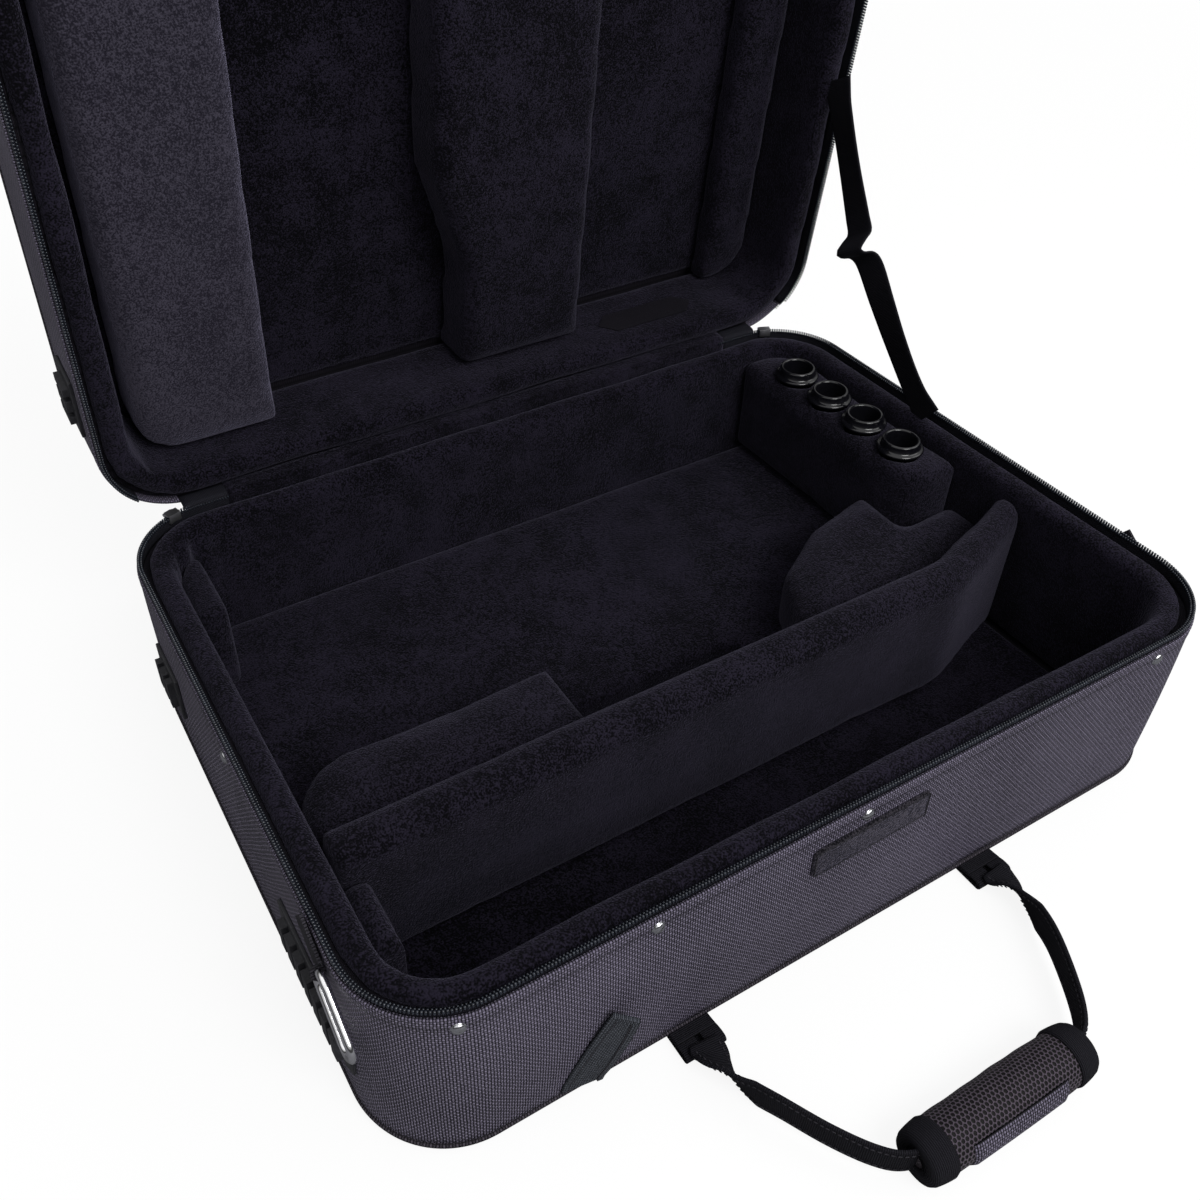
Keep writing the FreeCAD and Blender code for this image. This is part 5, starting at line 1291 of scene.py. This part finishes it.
def web_tab():
    """A hemmed cloth tab, sewn in above the bottom seam, that leans and turns off the front."""
    path = np.array([(-182, 0, 8.5), (-181, 0, 15), (-178.5, 0, 24), (-174, 0, 40),
                     (-168.5, 0, 57), (-163.5, 0, 71.5)]) * MM
    stand = np.array((1.4, 1.6, 2.4, 3.8, 5.4, 6.8)) * MM
    path[:, 1] = front_face(path[:, 0], path[:, 2]) - stand
    line, length = resampled(path, 1.2 * MM)
    share = (length / length[-1])[:, None]
    foot, top = unit(np.array((21.5, -1.2, -6.0))), unit(np.array((10.6, -7.4, -3.6)))
    across = foot * (1 - share) + top * share
    wide = (25 - 10 * share[:, 0] ** 1.3) * MM
    pieces = [ribbon("tab", line, wide, 1.6 * MM, "case_base", TAB_WEB, across)]
    for side in (-1, 1):
        edge = line + across * (side * (wide / 2 - 1.7 * MM))[:, None]
        pieces.append(ribbon("hem", edge, 3.4 * MM, 2.5 * MM, "case_base", TAB_WEB,
                             across, crown=0.6))
    end = np.stack([line[-2] + across[-1] * s * wide[-1] for s in (-0.46, 0, 0.46)])
    pieces.append(ribbon("hem", resampled(end, 1 * MM)[0], 3.4 * MM, 2.5 * MM, "case_base",
                         TAB_WEB, line[-1] - line[-3], crown=0.6))
    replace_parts(joined("sewn_tab", pieces), "web_tab")
    for number, side in enumerate((-1, 1), start=1):
        seam("tab_seam_" + str(number), line, across, side * (wide / 2 - 3.9 * MM), 1.0 * MM,
             "case_base", 2.6 * MM)


def patch():
    """A strip of looped pile with rounded corners, a superellipse, on the front cloth."""
    low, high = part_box("loop_patch")
    middle = (low + high) / 2
    half_x, half_z = (high.x - low.x) / 2, (high.z - low.z) / 2
    angle = full_turn(120)
    round_x = np.sign(np.cos(angle)) * np.abs(np.cos(angle)) ** 0.1 * half_x
    round_z = np.sign(np.sin(angle)) * np.abs(np.sin(angle)) ** 0.2 * half_z
    layers = [(0.02, -0.2), (0.99, -0.2), (1, 0.7), (0.985, 1.5), (0.97, 1.8)]
    layers += [(share, 1.9) for share in (0.9, 0.75, 0.6, 0.45, 0.3, 0.15, 0.02)]
    rings = []
    for share, rise in layers:
        x, z = middle.x + round_x * share, middle.z + round_z * share
        rings.append(np.stack([x, front_face(x, z) - rise * MM, z], 1))
    pile = skin("pile_strip", np.stack(rings), "case_base", FUZZ,
                loop=(False, True), ends=True)
    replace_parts(pile, "loop_patch")
    ring = np.linspace(0, 1, 74, endpoint=False)
    x = middle.x + 0.965 * half_x * np.interp(ring, (0, 0.1, 0.5, 0.6, 1), (1, 1, -1, -1, 1))
    z = middle.z + 0.87 * half_z * np.interp(ring, (0, 0.1, 0.5, 0.6, 1), (-1, 1, 1, -1, -1))
    points = np.stack([x, front_face(x, z) - 2.0 * MM, z], 1)
    ahead = ways_round(points)
    out = np.broadcast_to((0, -1.0, 0), ahead.shape)
    ways = np.stack([np.cross(ahead, out) * 0.35 * MM, out * 0.3 * MM, ahead * 1.1 * MM], 1)
    scattered("patch_stitches", unit_box(0.3), (ways, points), "case_base", THREAD)


def stand_out(skid):
    """Thickens a skid: how far a point stands out of the end wall grows by half."""
    points = points_of(skid.data)
    stand = np.clip(np.abs(points[:, 0]) - HALF_X, 0, None)
    points[:, 0] += np.sign(points[:, 0]) * stand * 0.5
    put_points(skid.data, points)


def fittings():
    """All hard and sewn pieces; skids, sliders and pulls are softened copies of their solids."""
    sleeves()
    rivets()
    for side in (-1, 1):
        wire_ring(side)
    handle_strap()
    grip()
    anchors()
    stay()
    gusset()
    web_tab()
    patch()
    for node in ("base_front_skids", "base_rear_skids", "lid_front_skids", "lid_rear_skids"):
        stand_out(eased("moulded_" + node, node, 0.5 * MM, RUBBER))
    for node in ("left_slider", "left_pull", "right_slider", "right_pull"):
        eased("cast_" + node, node, 0.22 * MM, NICKEL)


# Camera, light and floor

# The photograph's camera: its place, its direction, and in the picture's own pixels its focal
# length, the point that it looks at and the picture's side
CAMERA = Vector((-0.3506, -0.4628, 0.6157))
AZIMUTH = math.radians(30.43)
ELEVATION = math.radians(39.43)
ROLL = math.radians(-0.17)
FOCAL = 1188.5
CENTRE_X = 547.8
CENTRE_Y = 550.8
FRAME = 1200
FLOOR_REACH = 60


def camera():
    """Looks along the azimuth and down by the elevation; the shift moves the view's centre."""
    ahead = Vector((math.sin(AZIMUTH) * math.cos(ELEVATION),
                    math.cos(AZIMUTH) * math.cos(ELEVATION), -math.sin(ELEVATION)))
    right = Vector((math.cos(AZIMUTH), -math.sin(AZIMUTH), 0))
    right.rotate(Matrix.Rotation(ROLL, 3, ahead))
    up = right.cross(ahead)
    data = bpy.data.cameras.new("camera")
    data.sensor_width = 36
    data.lens = FOCAL * 36 / FRAME
    data.shift_x = (FRAME / 2 - CENTRE_X) / FRAME
    data.shift_y = (CENTRE_Y - FRAME / 2) / FRAME
    data.clip_start = 0.01
    eye = placed("camera", data)
    eye.matrix_world = Matrix.Translation(CAMERA) @ Matrix(
        (right, up, -ahead)).transposed().to_4x4()
    bpy.context.scene.camera = eye


def floor():
    """A pale floor: white to the eye from 3 m on, a little of its shade left near the case."""
    mesh = bpy.data.meshes.new("floor")
    mesh.from_pydata([(x * FLOOR_REACH, y * FLOOR_REACH, 0)
                      for x, y in ((-1, -1), (1, -1), (1, 1), (-1, 1))], [], [(0, 1, 2, 3)])
    finish = bpy.data.materials.new("pale_floor")
    finish.use_nodes = True
    n = Nodes(finish.node_tree)
    shader = n.tree.nodes["Principled BSDF"]
    shader.inputs["Roughness"].default_value = 0.9
    seen = n.new("LightPath").outputs
    away = n.new("VectorMath")
    away.operation = "LENGTH"
    n.link(n.coordinates("Object"), away.inputs[0])
    fade = n.new("MapRange", From_Min=0.7, From_Max=3.0, To_Min=0.88, Value=away.outputs["Value"])
    # Glossy rays see the floor dark grey: a painted dark reflection of the floor in shiny parts
    # such as rivets and sliders.
    n.link(n.ramp(seen["Is Glossy Ray"], 0, 1, (0.9, 0.9, 0.9, 1), (0.12, 0.12, 0.13, 1)),
           shader.inputs["Base Color"])
    glow = n.new("Emission", Color=(1, 1, 1, 1))
    shown = mixed(n, n.times(seen["Is Camera Ray"], fade.outputs[0]), shader.outputs[0],
                  glow.outputs[0])
    n.link(shown, n.tree.nodes["Material Output"].inputs[0])
    mesh.materials.append(finish)
    placed("floor", mesh)


def mixed(n, share, one, other):
    """A shader that is the other by the share and one by the rest."""
    mix = n.new("MixShader")
    for socket, source in zip(mix.inputs, (share, one, other)):
        n.link(source, socket)
    return mix.outputs[0]


def lamp(name, at, target, size, power):
    """A round lamp that looks at the target."""
    data = bpy.data.lights.new(name, "AREA")
    data.shape = "DISK"
    data.size = size
    data.energy = power
    light = placed(name, data)
    light.location = at
    light.rotation_euler = (Vector(target) - Vector(at)).to_track_quat("-Z", "Y").to_euler()


def world():
    """White to the eye, pale light from above and the right, and a dim horizon in gloss."""
    scene = bpy.context.scene
    scene.view_settings.view_transform = "Standard"
    sky = bpy.data.worlds.new("studio")
    scene.world = sky
    sky.use_nodes = True
    n = Nodes(sky.node_tree)
    way = n.split(n.coordinates("Generated"))
    up_and_right = n.add(way["Z"], n.times(way["X"], 0.5))
    pale, gloss = [
        n.new("Background", Color=n.ramp(height, low, high, (dark,) * 3 + (1,),
                                         (light,) * 3 + (1,))).outputs[0]
        for height, low, high, dark, light in ((up_and_right, -0.3, 0.7, 0.22, 0.84),
                                               (way["Z"], 0.25, 0.75, 0.05, 1.1))]
    white = n.new("Background", Color=(1, 1, 1, 1)).outputs[0]
    seen = n.new("LightPath").outputs
    light = mixed(n, seen["Is Glossy Ray"], pale, gloss)
    n.link(mixed(n, seen["Is Camera Ray"], light, white), n.tree.nodes["World Output"].inputs[0])
    lamp("key", (0.15, -1.9, 2.1), (0, 0, 0.1), 1.5, 48)
    lamp("fill", (1.7, -0.9, 1.6), (0, 0, 0.15), 1.6, 10)


FINISHES = {
    "nylon_cover": NYLON, "braided_piping": CORD, "frame_board": CLOTH, "plush_lining": LINING,
    "plush_foam": PAD, "lining_cloth": CLOTH, "sleeve_plastic": SLEEVE, "zip_tape": TAPE,
    "zip_teeth": TEETH, "rivet_steel": STEEL, "skid_rubber": RUBBER, "loop_fastener": FUZZ,
    "webbing": WEB, "grip_mesh": MESH, "closure_cloth": CLOTH, "ring_chrome": CHROME,
    "slider_metal": NICKEL,
}


def dress_nodes():
    """Every CAD node takes the finish of its slot; other pieces then replace some of them."""
    for part in frame["record"]["subparts"]:
        mesh = frame["nodes"][part["node"]].data
        mesh.materials.clear()
        ends = part["node"] == "ring_tabs"
        mesh.materials.append(END_WEB if ends else FINISHES[part["material_slot"]])


dress_nodes()
covers()
pipings()
panels()
zipper()
pads()
fittings()
camera()
floor()
world()
